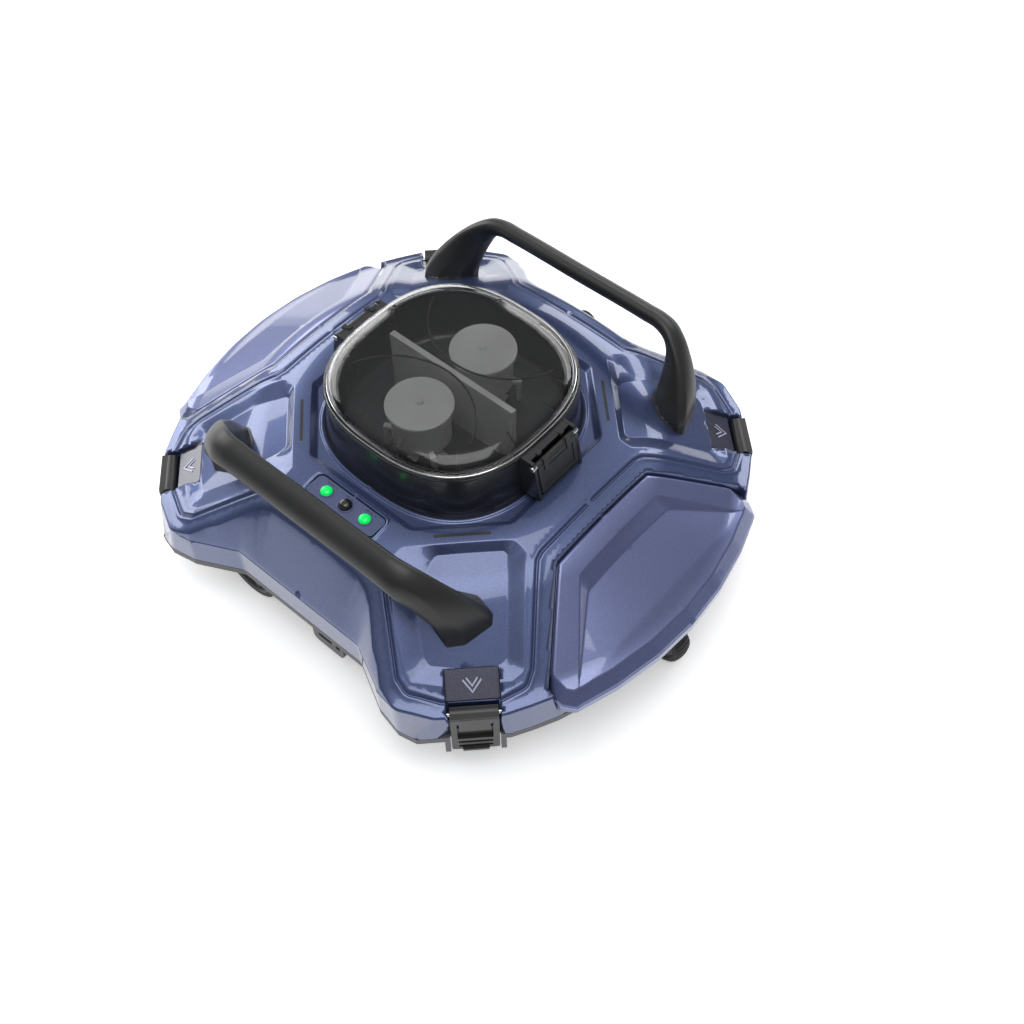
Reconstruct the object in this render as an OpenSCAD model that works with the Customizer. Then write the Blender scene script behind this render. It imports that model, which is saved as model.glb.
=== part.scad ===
// Cordless robotic pool cleaner: a domed cover clipped onto a wheeled debris tray.
// +X is the front (steering wheel), +Y is the left side, z = 0 is the pool floor.

/* [Body] */
// Overall length over the two wing covers
body_len = 432; // [400:2:520]
// Overall width over the four corner lobes
body_wid = 368; // [340:2:445]
// Height of the flat deck around the pump pod
deck_z = 118; // [110:1:130]
// Height of the cover's edge at the corner clips
edge_z = 67.5; // [62:0.5:72]
// Height of the seam between the cover and the base
seam_z = 44; // [42:0.5:48]
// Wall of the cover
shell_wall = 3; // [2:0.25:3.5]
// How far each corner is cut off, measured along one side
corner_cut = 93; // [80:1:105]
// How far the waist between the lobes is set in
waist_depth = 21; // [14:1:26]

/* [Wing covers] */
// Length of a wing cover from its straight inner edge to its curved outer edge
wing_depth = 81.5; // [70:0.5:90]
// Half width of a wing cover at its outer tips
wing_tip_y = 107; // [95:1:112]
// Wall of a wing cover
wing_wall = 2.5; // [2:0.25:3.5]
// Gap between a wing cover and its seat in the cover
wing_gap = 0.8; // [0.4:0.1:1.2]
// Depth of the wing seat below the dome
wing_seat = 26; // [20:1:30]
// Depth of the sunken panel in a wing cover
wing_panel = 4; // [2:0.5:6]

/* [Pump pod] */
// Half width of the pod housing
pod_half = 81.5; // [78:0.5:84]
// Corner radius of the pod housing
pod_corner = 64; // [50:1:72]
// Height of the pod rim
pod_rim_z = 151.5; // [145:0.5:158]
// Height of the pod lid's crown
lid_top_z = 165; // [160:0.5:172]
// Wall of the pod housing and lid
pod_wall = 2.5; // [2:0.25:3.5]
// Distance of each motor from the middle
motor_y = 32.5; // [30:0.5:36]
// Radius of a motor cap
motor_r = 23.7; // [20:0.1:25]
// Radius of an impeller shaft
impeller_shaft_r = 2; // [1.5:0.25:3]
// Radius of an impeller over its blades
impeller_r = 20; // [16:0.5:21]
// Width of an outlet duct
outlet_w = 44; // [36:1:50]
// Radius of an outlet flap's hinge pin
flap_pin_r = 1.5; // [1:0.25:2]

/* [Handles] */
// Height of a handle's grip
grip_z = 146; // [140:1:152]
// Distance of a grip from the middle
grip_y = 140.5; // [136:0.5:146]
// Half length of a grip's straight part
grip_half = 80; // [70:1:90]
// Wide half axis of the oval grip
grip_a = 11.2; // [9:0.1:13]
// Narrow half axis of the oval grip
grip_b = 6.4; // [5:0.1:8]

/* [Clips] */
// Width of a clip
clip_w = 32; // [26:1:36]
// Lowest point of a clip's plate
clip_low_z = 27; // [24:1:32]
// Radius of a clip's hinge pin
clip_pin_r = 1.5; // [1:0.25:2]

/* [Base] */
// Height of the tray's underside above the floor
tray_z = 14; // [12:1:20]
// Wall of the base
base_wall = 3; // [2.5:0.25:4]
// Half length of the debris tray
tray_half = 150; // [130:1:152]
// Radius of a side wheel
wheel_r = 26; // [22:0.5:28]
// Width of a side wheel
wheel_w = 10.5; // [8:0.5:12]
// Distance of the side wheels behind the middle
wheel_x = 67; // [50:1:80]
// Radius of a stub axle
axle_r = 3; // [2.5:0.25:4]
// Radius of the steering wheel
steer_r = 18; // [15:0.5:18.5]
// Width of the steering wheel
steer_w = 16; // [12:0.5:18]
// Distance from the steering pivot to the steering wheel's axle
steer_trail = 28; // [26:0.5:30]
// Radius of the steering post
steer_post_r = 4; // [3:0.25:5]
// Radius of the steering wheel's axle
steer_axle_r = 2.5; // [2:0.25:3]
// Length of an intake slot
inlet_len = 110; // [90:2:120]
// Width of an intake slot
inlet_w = 24; // [18:1:26]

/* [Fits] */
// Radial clearance of everything that turns on a pin or shaft
run_fit = 0.05; // [0.02:0.01:0.1]
// Gap between pieces that pass close to each other
free_gap = 0.4; // [0.3:0.05:0.6]

/* [Hidden] */
$fn = 64;

half_len = body_len / 2;
half_wid = body_wid / 2;
tall = deck_z + 20;

// Cover outline: driving points of one quarter, then mirrored round
waist_y = half_wid - waist_depth;
corner_sum = half_len + half_wid - corner_cut;
lobe_x = half_wid * 0.61;
corner_x = corner_sum - half_wid + 3;
flank_y = wing_tip_y;
flank_x = corner_sum - flank_y - 14;
bow_x = half_len - 10;
bow_steps = 6;
bow_r = (pow(bow_x - flank_x, 2) + pow(flank_y, 2)) / (2 * (bow_x - flank_x));
bow_angle = asin(flank_y / bow_r);
quarter = [
    for (i = [0 : bow_steps])
        let(a = bow_angle * i / bow_steps)
        [bow_x - bow_r + bow_r * cos(a), bow_r * sin(a)],
    [flank_x - 8, flank_y + 16],
    [corner_sum - half_wid + 47, half_wid - 47],
    [corner_x, half_wid - 3],
    [lobe_x, half_wid],
    [lobe_x - 20, half_wid - 4],
    [lobe_x - 54, waist_y]
];

// A closed outline from one quarter, anticlockwise from +X
function upper_half(q) = concat(q, [for (i = [len(q) - 1 : -1 : 0]) [-q[i].x, q[i].y]]);
function full_outline(q) = let(h = upper_half(q), n = len(h))
    concat([for (i = [0 : n - 1]) h[i]], [for (i = [n - 2 : -1 : 1]) [h[i].x, -h[i].y]]);

// Moves every edge of an anticlockwise outline inwards by d
function unit(v) = v / norm(v);
function inward(a, b) = let(e = unit(b - a)) [-e.y, e.x];
function inset(p, d) = let(n = len(p)) [
    for (i = [0 : n - 1])
        let(m = inward(p[(i + n - 1) % n], p[i]), k = inward(p[i], p[(i + 1) % n]))
        p[i] + d * (m + k) / (1 + m * k)
];

cover_outline = full_outline(quarter);

// Octagonal well round the pod
well_half = pod_half + 14;
well_sum = well_half * 1.5;
well_z = deck_z - 4.5;
pod_low_z = well_z - 10;
well_outline = [
    [well_half, well_sum - well_half], [well_sum - well_half, well_half],
    [well_half - well_sum, well_half], [-well_half, well_sum - well_half],
    [-well_half, well_half - well_sum], [well_half - well_sum, -well_half],
    [well_sum - well_half, -well_half], [well_half, well_half - well_sum]
];

// Dome profile as distance from the middle and height
deck_r = well_half + 16.5;
brow_r = 143;
brow_z = deck_z - 7;
foot_r = norm([corner_sum / 2, corner_sum / 2]) - 12;
foot_z = edge_z + 3.5;
far_r = foot_r + 60;
far_z = foot_z - 17;

// Wing outline
wing_in_x = half_len - wing_depth;
wing_in_y = 48;
wing_out_r = 265;
wing_tip_x = half_len - wing_out_r + sqrt(pow(wing_out_r, 2) - pow(wing_tip_y - 5, 2));
wing_steps = 8;
wing_arc = asin((wing_tip_y - 5) / wing_out_r);
wing_outline = [
    [wing_in_x, wing_in_y],
    [wing_in_x, -wing_in_y],
    [wing_tip_x - 18, -wing_tip_y],
    [wing_tip_x - 8, -wing_tip_y],
    for (i = [-wing_steps : wing_steps])
        let(a = wing_arc * i / wing_steps)
        [half_len - wing_out_r + wing_out_r * cos(a), wing_out_r * sin(a)],
    [wing_tip_x - 8, wing_tip_y],
    [wing_tip_x - 18, wing_tip_y]
];
panel_outline = [
    [wing_in_x + 17, wing_in_y - 6],
    [wing_in_x + 17, 6 - wing_in_y],
    [wing_tip_x - 14, 18 - wing_tip_y],
    [wing_tip_x - 4, 22 - wing_tip_y],
    for (i = [-4 : 4])
        let(a = wing_arc * 0.72 * i / 4)
        [half_len - wing_out_r - 13 + wing_out_r * cos(a), wing_out_r * sin(a)],
    [wing_tip_x - 4, wing_tip_y - 22],
    [wing_tip_x - 14, wing_tip_y - 18]
];
wing_low_z = seam_z + 9;
seat_floor_z = seam_z + 12;

// Waist slope, a steep facet between the lobes
brow_y = waist_y - 23.5;
brow_half = lobe_x - 69;
slope_top_z = deck_z - 8;
slope_low_z = edge_z - 0.5;

// Handle pads on the four corners
pad_depth = 5;
pad_out = corner_sum / 2;
foot_centre = [pad_out - 42.5, pad_out - 38.5];
pad_outline = [
    [pad_out - 98, pad_out - 43],
    [pad_out - 48, pad_out - 95],
    [pad_out - 38, pad_out - 96],
    [pad_out + 4, pad_out - 45],
    [pad_out - 12, pad_out - 20],
    [pad_out - 20, pad_out - 12],
    [pad_out - 45, pad_out + 4],
    [pad_out - 96, pad_out - 35]
];

// Deck slots
slot_len = 38;
slot_w = 2.4;
slot_r = well_sum / sqrt(2) + 6;

// Clips
clip_angles = [45, 135, 225, 315];
clip_face_u = norm([corner_sum / 2, corner_sum / 2]);
clip_plate = 3.6;
clip_barrel_r = 4.8;
clip_pin_u = clip_face_u - 6.5;
clip_pin_z = edge_z - 3.5;
clip_gap = 0.8;
clip_wall_u = clip_face_u - clip_plate - free_gap;
clip_pin_len = clip_w + 10;
notch_u = clip_pin_u - clip_barrel_r - 2;
notch_floor_z = clip_pin_z - clip_barrel_r - 2;
bed_tilt = atan((brow_z - foot_z) / (foot_r - brow_r));
bed_len = 17;
bed_plate = 1.5;

// Outlets
outlet_x = pod_half - 5;
outlet_low_z = deck_z + 3;
outlet_low_x = half_outlet(outlet_low_z);
outlet_top_x = half_outlet(pod_rim_z);
outlet_lip = 4;
flap_z = pod_rim_z - 4.5;
flap_thick = 1.8;
flap_barrel_r = 2.2;
function half_outlet(z) = pod_half + 10.5 + (pod_rim_z - z) * 0.19;
flap_pin_x = half_outlet(flap_z) - 1.6;
flap_tilt = atan(0.19);

// Motors and impellers
impeller_z = pod_low_z + 7;
impeller_h = 7;
motor_low_z = impeller_z + impeller_h + 5;
motor_top_z = pod_rim_z + 2;
shaft_seat = 8;

// Control panel on the right-hand side of the deck
panel_half = 31.6;
panel_y = -well_half - 13.1;
panel_d = 18.5;
panel_thick = 1.4;
light_x = 18;
light_r = 4;
button_r = 4.6;
button_fit = 0.3;
button_proud = 1.6;

// Charge socket in the left waist
socket_r = 9;
socket_z = (slope_top_z + slope_low_z) / 2;
socket_y = (brow_y + waist_y) / 2 - 1;
socket_len = 14;
plug_r = 5.2;

// Base
lip_low_z = seam_z - 6;
base_top_z = seam_z - 0.3;
tray_inset = waist_y - 145;
arch_in_y = waist_y - tray_inset;
wheel_y = arch_in_y + 0.9;
wheel_side_y = wheel_y + wheel_w;
arch_out_y = wheel_side_y + 0.9;
arch_half = wheel_r + 3;
arch_top_z = 2 * wheel_r + 3;
arch_wall = 1.8;
clip_cut = 60;
clip_side = clip_w / 2 + clip_gap;
steer_x = half_len - 2 - steer_r - steer_trail;
fork_cheek = 3;
post_h = base_top_z - lip_low_z;
fork_in = steer_w / 2 + 1.2;
tray_floor_z = tray_z + base_wall;
inlet_x = 62;
intake_pin_r = 1.2;
intake_barrel_r = 2.6;
intake_pin_z = tray_floor_z + intake_barrel_r + free_gap;
intake_pin_x = inlet_x - inlet_w / 2 - 3.5;
filter_z = lip_low_z + base_wall + free_gap;
filter_h = 5;
filter_bar = 4;

// Solid of revolution of the dome, lowered by drop
module dome(drop) {
    rotate_extrude($fn = 128)
        polygon([[0, 0], [far_r, 0], [far_r, far_z - drop], [foot_r, foot_z - drop],
            [brow_r, brow_z - drop], [deck_r, deck_z - drop], [0, deck_z - drop]]);
}

// Prism of an outline between two heights
module slab(outline, low, high) {
    translate([0, 0, low])
        linear_extrude(high - low)
            polygon(outline);
}

// The space of a recess that follows the dome at a depth, never deeper than floor_z
module recess(outline, depth, floor_z) {
    difference() {
        slab(outline, floor_z, tall);
        dome(depth);
    }
}

// The four mirror images of a shape drawn in the +X +Y quarter
module each_corner() {
    for (sx = [0, 1])
        for (sy = [0, 1])
            mirror([sx, 0, 0])
                mirror([0, sy, 0])
                    children();
}

// A shape at each clip: local x points outwards, local y runs along the clip
module at_clip(angle) {
    rotate([0, 0, angle])
        children();
}

// Block with local limits
module block(x0, x1, y0, y1, z0, z1) {
    translate([x0, y0, z0])
        cube([x1 - x0, y1 - y0, z1 - z0]);
}

// Square prism with round corners
module round_prism(half, r, low, high) {
    flat = half - r;
    translate([0, 0, low])
        union() {
            translate([-half, -flat, 0])
                cube([2 * half, 2 * flat, high - low]);
            translate([-flat, -half, 0])
                cube([2 * flat, 2 * half, high - low]);
            for (sx = [-1, 1])
                for (sy = [-1, 1])
                    translate([sx * flat, sy * flat, 0])
                        cylinder(r = r, h = high - low);
        }
}

// Rod along Y
module rod_y(r, x, y0, y1, z) {
    translate([x, y0, z])
        rotate([-90, 0, 0])
            cylinder(r = r, h = y1 - y0);
}

// Waist facet to cut away on the +Y side, grown by g
module waist_cut(g) {
    rise = slope_top_z - slope_low_z;
    run = waist_y - brow_y;
    shift = g * norm([rise, run]) / rise;
    intersection() {
        rotate([90, 0, 90])
            translate([0, 0, -lobe_x])
                linear_extrude(2 * lobe_x)
                    polygon([[brow_y - shift, slope_top_z], [brow_y - shift - 20 * run / rise, slope_top_z + 20],
                        [waist_y + 60, slope_top_z + 20], [waist_y + 60, slope_low_z],
                        [waist_y - shift, slope_low_z]]);
        slab([[-brow_half - g, brow_y - 40], [brow_half + g, brow_y - 40], [brow_half + g, brow_y],
            [lobe_x - 10 + g, half_wid - 6], [lobe_x - 10 + g, half_wid + 20],
            [10 - lobe_x - g, half_wid + 20], [10 - lobe_x - g, half_wid - 6],
            [-brow_half - g, brow_y]], slope_low_z - 1, tall);
    }
}

// The cover's body, inset by d all over: 0 gives the outside, the wall gives the inside
module cover_form(d) {
    difference() {
        intersection() {
            slab(inset(cover_outline, d), d > 0 ? seam_z - 5 : seam_z, tall);
            dome(d);
        }
        for (s = [0, 1])
            mirror([0, s, 0])
                waist_cut(d);
        for (s = [0, 1])
            mirror([s, 0, 0])
                recess(inset(wing_outline, -wing_gap - d), wing_seat + d, seat_floor_z - d);
        each_corner()
            recess(inset(pad_outline, -d), pad_depth + d, seam_z + 5);
        slab(inset(well_outline, -d), well_z - d, tall);
    }
}
module clip_notch() {
    block(notch_u, clip_face_u + 20, -clip_w / 2 - clip_gap, clip_w / 2 + clip_gap, notch_floor_z, tall);
    block(clip_wall_u, clip_face_u + 20, -clip_w / 2 - clip_gap, clip_w / 2 + clip_gap, 0, tall);
}

// Chevron bed: a slanted plate just inboard of the hinge
module bed_plate_at(grow, thick) {
    translate([notch_u - 1, 0, foot_z + (foot_r - notch_u + 1) * tan(bed_tilt)])
        rotate([0, bed_tilt, 0])
            translate([-bed_len - grow, -clip_w / 2 - grow, -thick])
                cube([bed_len + grow, clip_w + 2 * grow, thick]);
}

module chevron(offset_x) {
    translate([notch_u - 1, 0, foot_z + (foot_r - notch_u + 1) * tan(bed_tilt)])
        rotate([0, bed_tilt, 0])
            translate([offset_x, 0, -0.3])
                linear_extrude(0.5)
                    polygon([[0, 0], [-5, 5.5], [-6.5, 5.5], [-1.5, 0], [-6.5, -5.5], [-5, -5.5]]);
}

module top_shell() {
    color([0.16, 0.2, 0.42])
    difference() {
        union() {
            difference() {
                cover_form(0);
                cover_form(shell_wall);
            }
            intersection() {
                cover_form(0);
                for (a = clip_angles)
                    at_clip(a) {
                        block(notch_u - bed_len - 6, clip_face_u, -clip_w / 2 - 6, clip_w / 2 + 6,
                            notch_floor_z - 5, tall);
                        block(clip_wall_u - shell_wall, clip_face_u, -clip_w / 2 - 6, clip_w / 2 + 6,
                            seam_z, tall);
                    }
            }
        }
        for (a = clip_angles)
            at_clip(a) {
                clip_notch();
                bed_plate_at(0.2, bed_plate);
                translate([clip_pin_u, -clip_pin_len / 2, clip_pin_z])
                    rotate([-90, 0, 0])
                        cylinder(r = clip_pin_r, h = clip_pin_len);
            }
        round_prism(pod_half + free_gap, pod_corner, pod_low_z, tall);
        for (s = [0, 1])
            mirror([s, 0, 0])
                block(0, outlet_low_x + 1, -outlet_w / 2 - 1, outlet_w / 2 + 1, deck_z + 1, tall);
        for (a = clip_angles)
            at_clip(a)
                block(slot_r - slot_w / 2, slot_r + slot_w / 2, -slot_len / 2, slot_len / 2,
                    deck_z - 20, tall);
        block(-panel_half, panel_half, panel_y - panel_d / 2, panel_y + panel_d / 2,
            deck_z - panel_thick, tall);
        for (x = [-light_x, 0, light_x])
            translate([x, panel_y, deck_z - 12])
                cylinder(r = button_r + 1, h = 20);
        rod_y(socket_r, 0, socket_y - socket_len - 20, waist_y + 5, socket_z);
    }
}

// A wing cover at the +X end: an open-bottomed shell with a sunken panel
module wing_cover() {
    difference() {
        intersection() {
            slab(wing_outline, wing_low_z, tall);
            dome(0);
        }
        difference() {
            intersection() {
                slab(inset(wing_outline, wing_wall), wing_low_z - 5, tall);
                dome(wing_wall);
            }
            recess(inset(panel_outline, -wing_wall), wing_panel + wing_wall, seam_z);
        }
        recess(panel_outline, wing_panel, seam_z);
        intersection() {
            slab(inset(cover_outline, -free_gap), 0, tall);
            union() {
                dome(wing_seat - free_gap);
                slab(wing_outline, 0, seat_floor_z + free_gap);
            }
        }
    }
}

module wing_cover_front() {
    color([0.2, 0.24, 0.5])
        wing_cover();
}

module wing_cover_rear() {
    color([0.2, 0.24, 0.5])
        mirror([1, 0, 0])
            wing_cover();
}

// Closed-cell foam between each wing cover and its seat
module wing_floats() {
    color([0.85, 0.85, 0.8])
        for (s = [0, 1])
            mirror([s, 0, 0])
                difference() {
                    intersection() {
                        slab(inset(wing_outline, wing_wall + 8), seat_floor_z, tall);
                        slab(inset(cover_outline, 3), seat_floor_z, tall);
                        dome(wing_panel + wing_wall + free_gap);
                    }
                    dome(wing_seat - 0.2);
                }
}

// Pod housing: an open cup with two intake holes in its floor
module pod_housing() {
    color([0.05, 0.05, 0.06])
    difference() {
        union() {
            round_prism(pod_half, pod_corner, pod_low_z, pod_rim_z);
            round_prism(pod_half + 5, pod_corner + 5, well_z - shell_wall - 3, well_z - shell_wall);
        }
        round_prism(pod_half - pod_wall, pod_corner - pod_wall, pod_low_z + pod_wall, pod_rim_z + 1);
        for (s = [-1, 1])
            translate([0, s * motor_y, pod_low_z - 1])
                cylinder(r = impeller_r + 1.5, h = pod_wall + 2);
        for (s = [0, 1])
            mirror([s, 0, 0])
                block(outlet_x - 8, pod_half + 1, -outlet_w / 2, outlet_w / 2, outlet_low_z, pod_rim_z + 1);
    }
}

// Smoky lid: a shallow dome with rounded shoulders
module lid_form(d) {
    hull() {
        round_prism_fine(pod_half - 2.2 - d, pod_corner - 2 - d, pod_rim_z + 2, pod_rim_z + 4);
        round_prism_fine(pod_half - 6.5 - d, pod_corner - 4 - d, pod_rim_z + 7.5, pod_rim_z + 9.5 - d);
        round_prism_fine(pod_half - 20, pod_corner - 14, pod_rim_z + 8, lid_top_z - d);
    }
}

module round_prism_fine(half, r, low, high) {
    round_prism(half, r, low, high, $fn = 32);
}

module pod_lid() {
    color([0.3, 0.3, 0.3, 0.5])
    difference() {
        union() {
            lid_form(0);
            round_prism(pod_half - 1, pod_corner - 1, pod_rim_z + 0.8, pod_rim_z + 3);
        }
        lid_form(pod_wall);
        round_prism(pod_half - 5, pod_corner - 5, pod_rim_z, pod_rim_z + 3.5);
    }
}

module pod_gasket() {
    color([0.1, 0.1, 0.1])
    difference() {
        round_prism(pod_half - 0.6, pod_corner - 0.6, pod_rim_z, pod_rim_z + 0.8);
        round_prism(pod_half - pod_wall, pod_corner - pod_wall, pod_rim_z - 1, pod_rim_z + 2);
    }
}

// Wall that splits the pod into two pump chambers
module pod_partition() {
    color([0.2, 0.2, 0.2])
        block(-56, 56, -2.2, 2.2, pod_low_z + pod_wall, pod_rim_z + 7);
}

// Outlet duct at the +X side of the pod
module outlet_duct() {
    difference() {
        rotate([90, 0, 0])
            translate([0, 0, -outlet_w / 2])
                linear_extrude(outlet_w)
                    polygon([[outlet_x - 3, outlet_low_z], [outlet_low_x, outlet_low_z],
                        [outlet_top_x, pod_rim_z], [outlet_x - 3, pod_rim_z]]);
        block(outlet_x - 10, outlet_low_x + 5, outlet_lip - outlet_w / 2, outlet_w / 2 - outlet_lip,
            outlet_low_z + 3, flap_z - 5);
        block(flap_pin_x - 2.6, outlet_low_x + 5, 2.5 - outlet_w / 2, outlet_w / 2 - 2.5, outlet_low_z + 3, pod_rim_z + 1);
        rod_y(flap_pin_r, flap_pin_x, -outlet_w, outlet_w, flap_z);
    }
}

module outlet_duct_front() {
    color([0.07, 0.07, 0.07])
        outlet_duct();
}

module outlet_duct_rear() {
    color([0.07, 0.07, 0.07])
        mirror([1, 0, 0])
            outlet_duct();
}

// One-way flap, hinged along its top edge
module outlet_flap() {
    half = outlet_w / 2 - 2.5 - free_gap;
    difference() {
        union() {
            rod_y(flap_barrel_r, flap_pin_x, -half, half, flap_z);
            translate([flap_pin_x, -half, flap_z])
                rotate([0, 90 - flap_tilt, 0])
                    translate([1, 0, flap_barrel_r - 0.3 - flap_thick])
                        cube([flap_z - outlet_low_z - 6, 2 * half, flap_thick]);
        }
        rod_y(flap_pin_r + run_fit, flap_pin_x, -half - 1, half + 1, flap_z);
    }
}

module outlet_flap_front() {
    color([0.12, 0.12, 0.12])
        outlet_flap();
}

module outlet_flap_rear() {
    color([0.12, 0.12, 0.12])
        mirror([1, 0, 0])
            outlet_flap();
}

module outlet_pins() {
    color([0.8, 0.8, 0.8])
        for (s = [0, 1])
            mirror([s, 0, 0])
                rod_y(flap_pin_r, flap_pin_x, -outlet_w / 2 - 0.8, outlet_w / 2 + 0.8, flap_z);
}

// Sealed motor with a crowned cap, held by three arms from the pod floor
module motor(side) {
    translate([0, side * motor_y, 0])
    difference() {
        union() {
            translate([0, 0, motor_low_z])
                cylinder(r = motor_r - 3, h = motor_top_z - motor_low_z);
            translate([0, 0, motor_top_z - 3])
                cylinder(r = motor_r, h = 3);
            translate([0, 0, motor_top_z])
                cylinder(r = 2.2, h = 1.6);
            for (a = [30, 150, 270])
                rotate([0, 0, a * side]) {
                    block(motor_r - 6, impeller_r + 7, -2, 2, motor_low_z, motor_low_z + 3);
                    block(impeller_r + 4, impeller_r + 7, -2, 2, pod_low_z + pod_wall, motor_low_z + 3);
                }
        }
        translate([0, 0, motor_low_z - 1])
            cylinder(r = impeller_shaft_r + run_fit, h = shaft_seat + 1 + 0.5);
    }
}

module motor_left() {
    color([0.45, 0.45, 0.45])
        motor(1);
}

module motor_right() {
    color([0.45, 0.45, 0.45])
        motor(-1);
}

module impeller(side) {
    blades = 5;
    translate([0, side * motor_y, 0])
        union() {
            translate([0, 0, impeller_z])
                cylinder(r = 6, h = impeller_h);
            translate([0, 0, impeller_z])
                cylinder(r = impeller_shaft_r, h = impeller_h + 5 + shaft_seat);
            for (i = [0 : blades - 1])
                rotate([0, 0, i * 360 / blades])
                    translate([4, 0, impeller_z + impeller_h / 2])
                        rotate([side * 35, 0, 0])
                            translate([0, -3.6, -0.8])
                                cube([impeller_r - 4.2, 7.2, 1.6]);
        }
}

module impeller_left() {
    color([0.85, 0.85, 0.85])
        impeller(1);
}

module impeller_right() {
    color([0.85, 0.85, 0.85])
        impeller(-1);
}

// Sealed battery box hung from the deck
module battery_pack() {
    color([0.25, 0.3, 0.35])
    union() {
        block(-58, 58, well_half, well_half + 32, deck_z - 46, deck_z - 20);
        for (x = [-30, 30])
            translate([x, well_half + shell_wall + 4, deck_z - 21])
                cylinder(r = 3, h = 21 - shell_wall);
    }
}

module control_board() {
    color([0.1, 0.4, 0.2])
    union() {
        block(-36, 36, panel_y - 14, panel_y + 10, deck_z - 14, deck_z - 12.4);
        for (x = [-33, 33])
            translate([x, panel_y + 7, deck_z - 13])
                cylinder(r = 2, h = 13 - shell_wall);
    }
}

module control_panel() {
    color([0.45, 0.47, 0.62])
    difference() {
        block(0.3 - panel_half, panel_half - 0.3, panel_y - panel_d / 2 + 0.3,
            panel_y + panel_d / 2 - 0.3, deck_z - panel_thick, deck_z - 0.3);
        for (x = [-light_x, light_x])
            translate([x, panel_y, deck_z - 5])
                cylinder(r = light_r, h = 10);
        translate([0, panel_y, deck_z - 5])
            cylinder(r = button_r + button_fit, h = 10);
    }
}

module status_lights() {
    color([0.1, 0.9, 0.3])
        for (x = [-light_x, light_x])
            translate([x, panel_y, deck_z - 12.4])
                cylinder(r = light_r, h = 12.9);
}

module power_button() {
    color([0.03, 0.03, 0.03])
        translate([0, panel_y, deck_z - 9])
            cylinder(r = button_r, h = 9 + button_proud);
}

// Thin oval disc of a handle, wide axis tilted outwards
module grip_oval(x, y, z, yaw, grow) {
    translate([x, y, z])
        rotate([0, 0, yaw])
            rotate([-45, 0, 0])
                rotate([0, 90, 0])
                    scale([grip_b * grow, grip_a * grow, 1])
                        cylinder(r = 1, h = 1, center = true, $fn = 24);
}

// Foot pad of a handle leg
module handle_foot(z0, z1, grow) {
    translate([foot_centre.x, foot_centre.y, z0])
        linear_extrude(z1 - z0)
            polygon([[-19 * grow, -10 * grow], [0, -17 * grow], [14 * grow, -12 * grow],
                [11 * grow, 8 * grow], [0, 17 * grow], [-17 * grow, 12 * grow]]);
}

module handle_leg() {
    hull() {
        grip_oval(grip_half, grip_y, grip_z, 0, 1);
        grip_oval(grip_half + 9, grip_y - 4, grip_z - 8, -30, 1.1);
    }
    hull() {
        grip_oval(grip_half + 9, grip_y - 4, grip_z - 8, -30, 1.1);
        handle_foot(foot_seat_z + 12, foot_seat_z + 14, 0.8);
    }
    hull() {
        handle_foot(foot_seat_z + 12, foot_seat_z + 14, 0.8);
        handle_foot(foot_seat_z, foot_seat_z + 1, 0.95);
    }
}
foot_seat_z = dome_z(norm(foot_centre) - 21) - pad_depth + 0.2;
function dome_z(r) = r < brow_r ? brow_z + (deck_z - brow_z) * (brow_r - r) / (brow_r - deck_r)
    : brow_z - (r - brow_r) * (brow_z - foot_z) / (foot_r - brow_r);

// Solid part under a foot that meets the slanted pad
module handle_heel() {
    difference() {
        handle_foot(foot_seat_z - 24, foot_seat_z + 0.5, 0.95);
        dome(pad_depth - 0.1);
    }
}

module handle() {
    hull() {
        grip_oval(grip_half, grip_y, grip_z, 0, 1);
        grip_oval(-grip_half, grip_y, grip_z, 0, 1);
    }
    for (s = [0, 1])
        mirror([s, 0, 0]) {
            handle_leg();
            handle_heel();
        }
}

module handle_left() {
    color([0.08, 0.08, 0.08])
        handle();
}

module handle_right() {
    color([0.08, 0.08, 0.08])
        mirror([0, 1, 0])
            handle();
}

// Clip: a hinge barrel, a cap and a plate that hangs in front of the base lip
module clip(angle) {
    half = clip_w / 2;
    plate_in = clip_face_u - clip_plate;
    at_clip(angle)
        difference() {
            union() {
                translate([clip_pin_u, -half, clip_pin_z])
                    rotate([-90, 0, 0])
                        cylinder(r = clip_barrel_r, h = clip_w);
                block(clip_pin_u, clip_face_u, -half, half, clip_pin_z, clip_pin_z + clip_barrel_r);
                block(plate_in, clip_face_u, -half, half, clip_low_z, clip_pin_z + clip_barrel_r);
                block(clip_face_u - 1, clip_face_u + 2, -half, half, clip_low_z, clip_low_z + 2.5);
            }
            translate([clip_pin_u, -half - 1, clip_pin_z])
                rotate([-90, 0, 0])
                    cylinder(r = clip_pin_r + run_fit, h = clip_w + 2);
            block(plate_in - 1, clip_face_u + 1, -9, 9, clip_pin_z - 22, clip_pin_z - 12);
            for (z = [clip_pin_z - 27, clip_pin_z - 32])
                block(plate_in - 1, clip_face_u + 1, -9, 9, z, z + 2);
        }
}

module clip_front_left() {
    color([0.1, 0.1, 0.1])
        clip(45);
}

module clip_rear_left() {
    color([0.1, 0.1, 0.1])
        clip(135);
}

module clip_rear_right() {
    color([0.1, 0.1, 0.1])
        clip(225);
}

module clip_front_right() {
    color([0.1, 0.1, 0.1])
        clip(315);
}

module clip_pins() {
    color([0.8, 0.8, 0.8])
        for (a = clip_angles)
            at_clip(a)
                translate([clip_pin_u, -clip_pin_len / 2, clip_pin_z])
                    rotate([-90, 0, 0])
                        cylinder(r = clip_pin_r, h = clip_pin_len);
}

module clip_beds() {
    color([0.1, 0.12, 0.25])
        for (a = clip_angles)
            at_clip(a)
                intersection() {
                    union() {
                        bed_plate_at(0, bed_plate);
                        chevron(-3);
                        chevron(-7);
                    }
                    block(0, notch_u - 1, -100, 100, 0, tall);
                }
}

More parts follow.
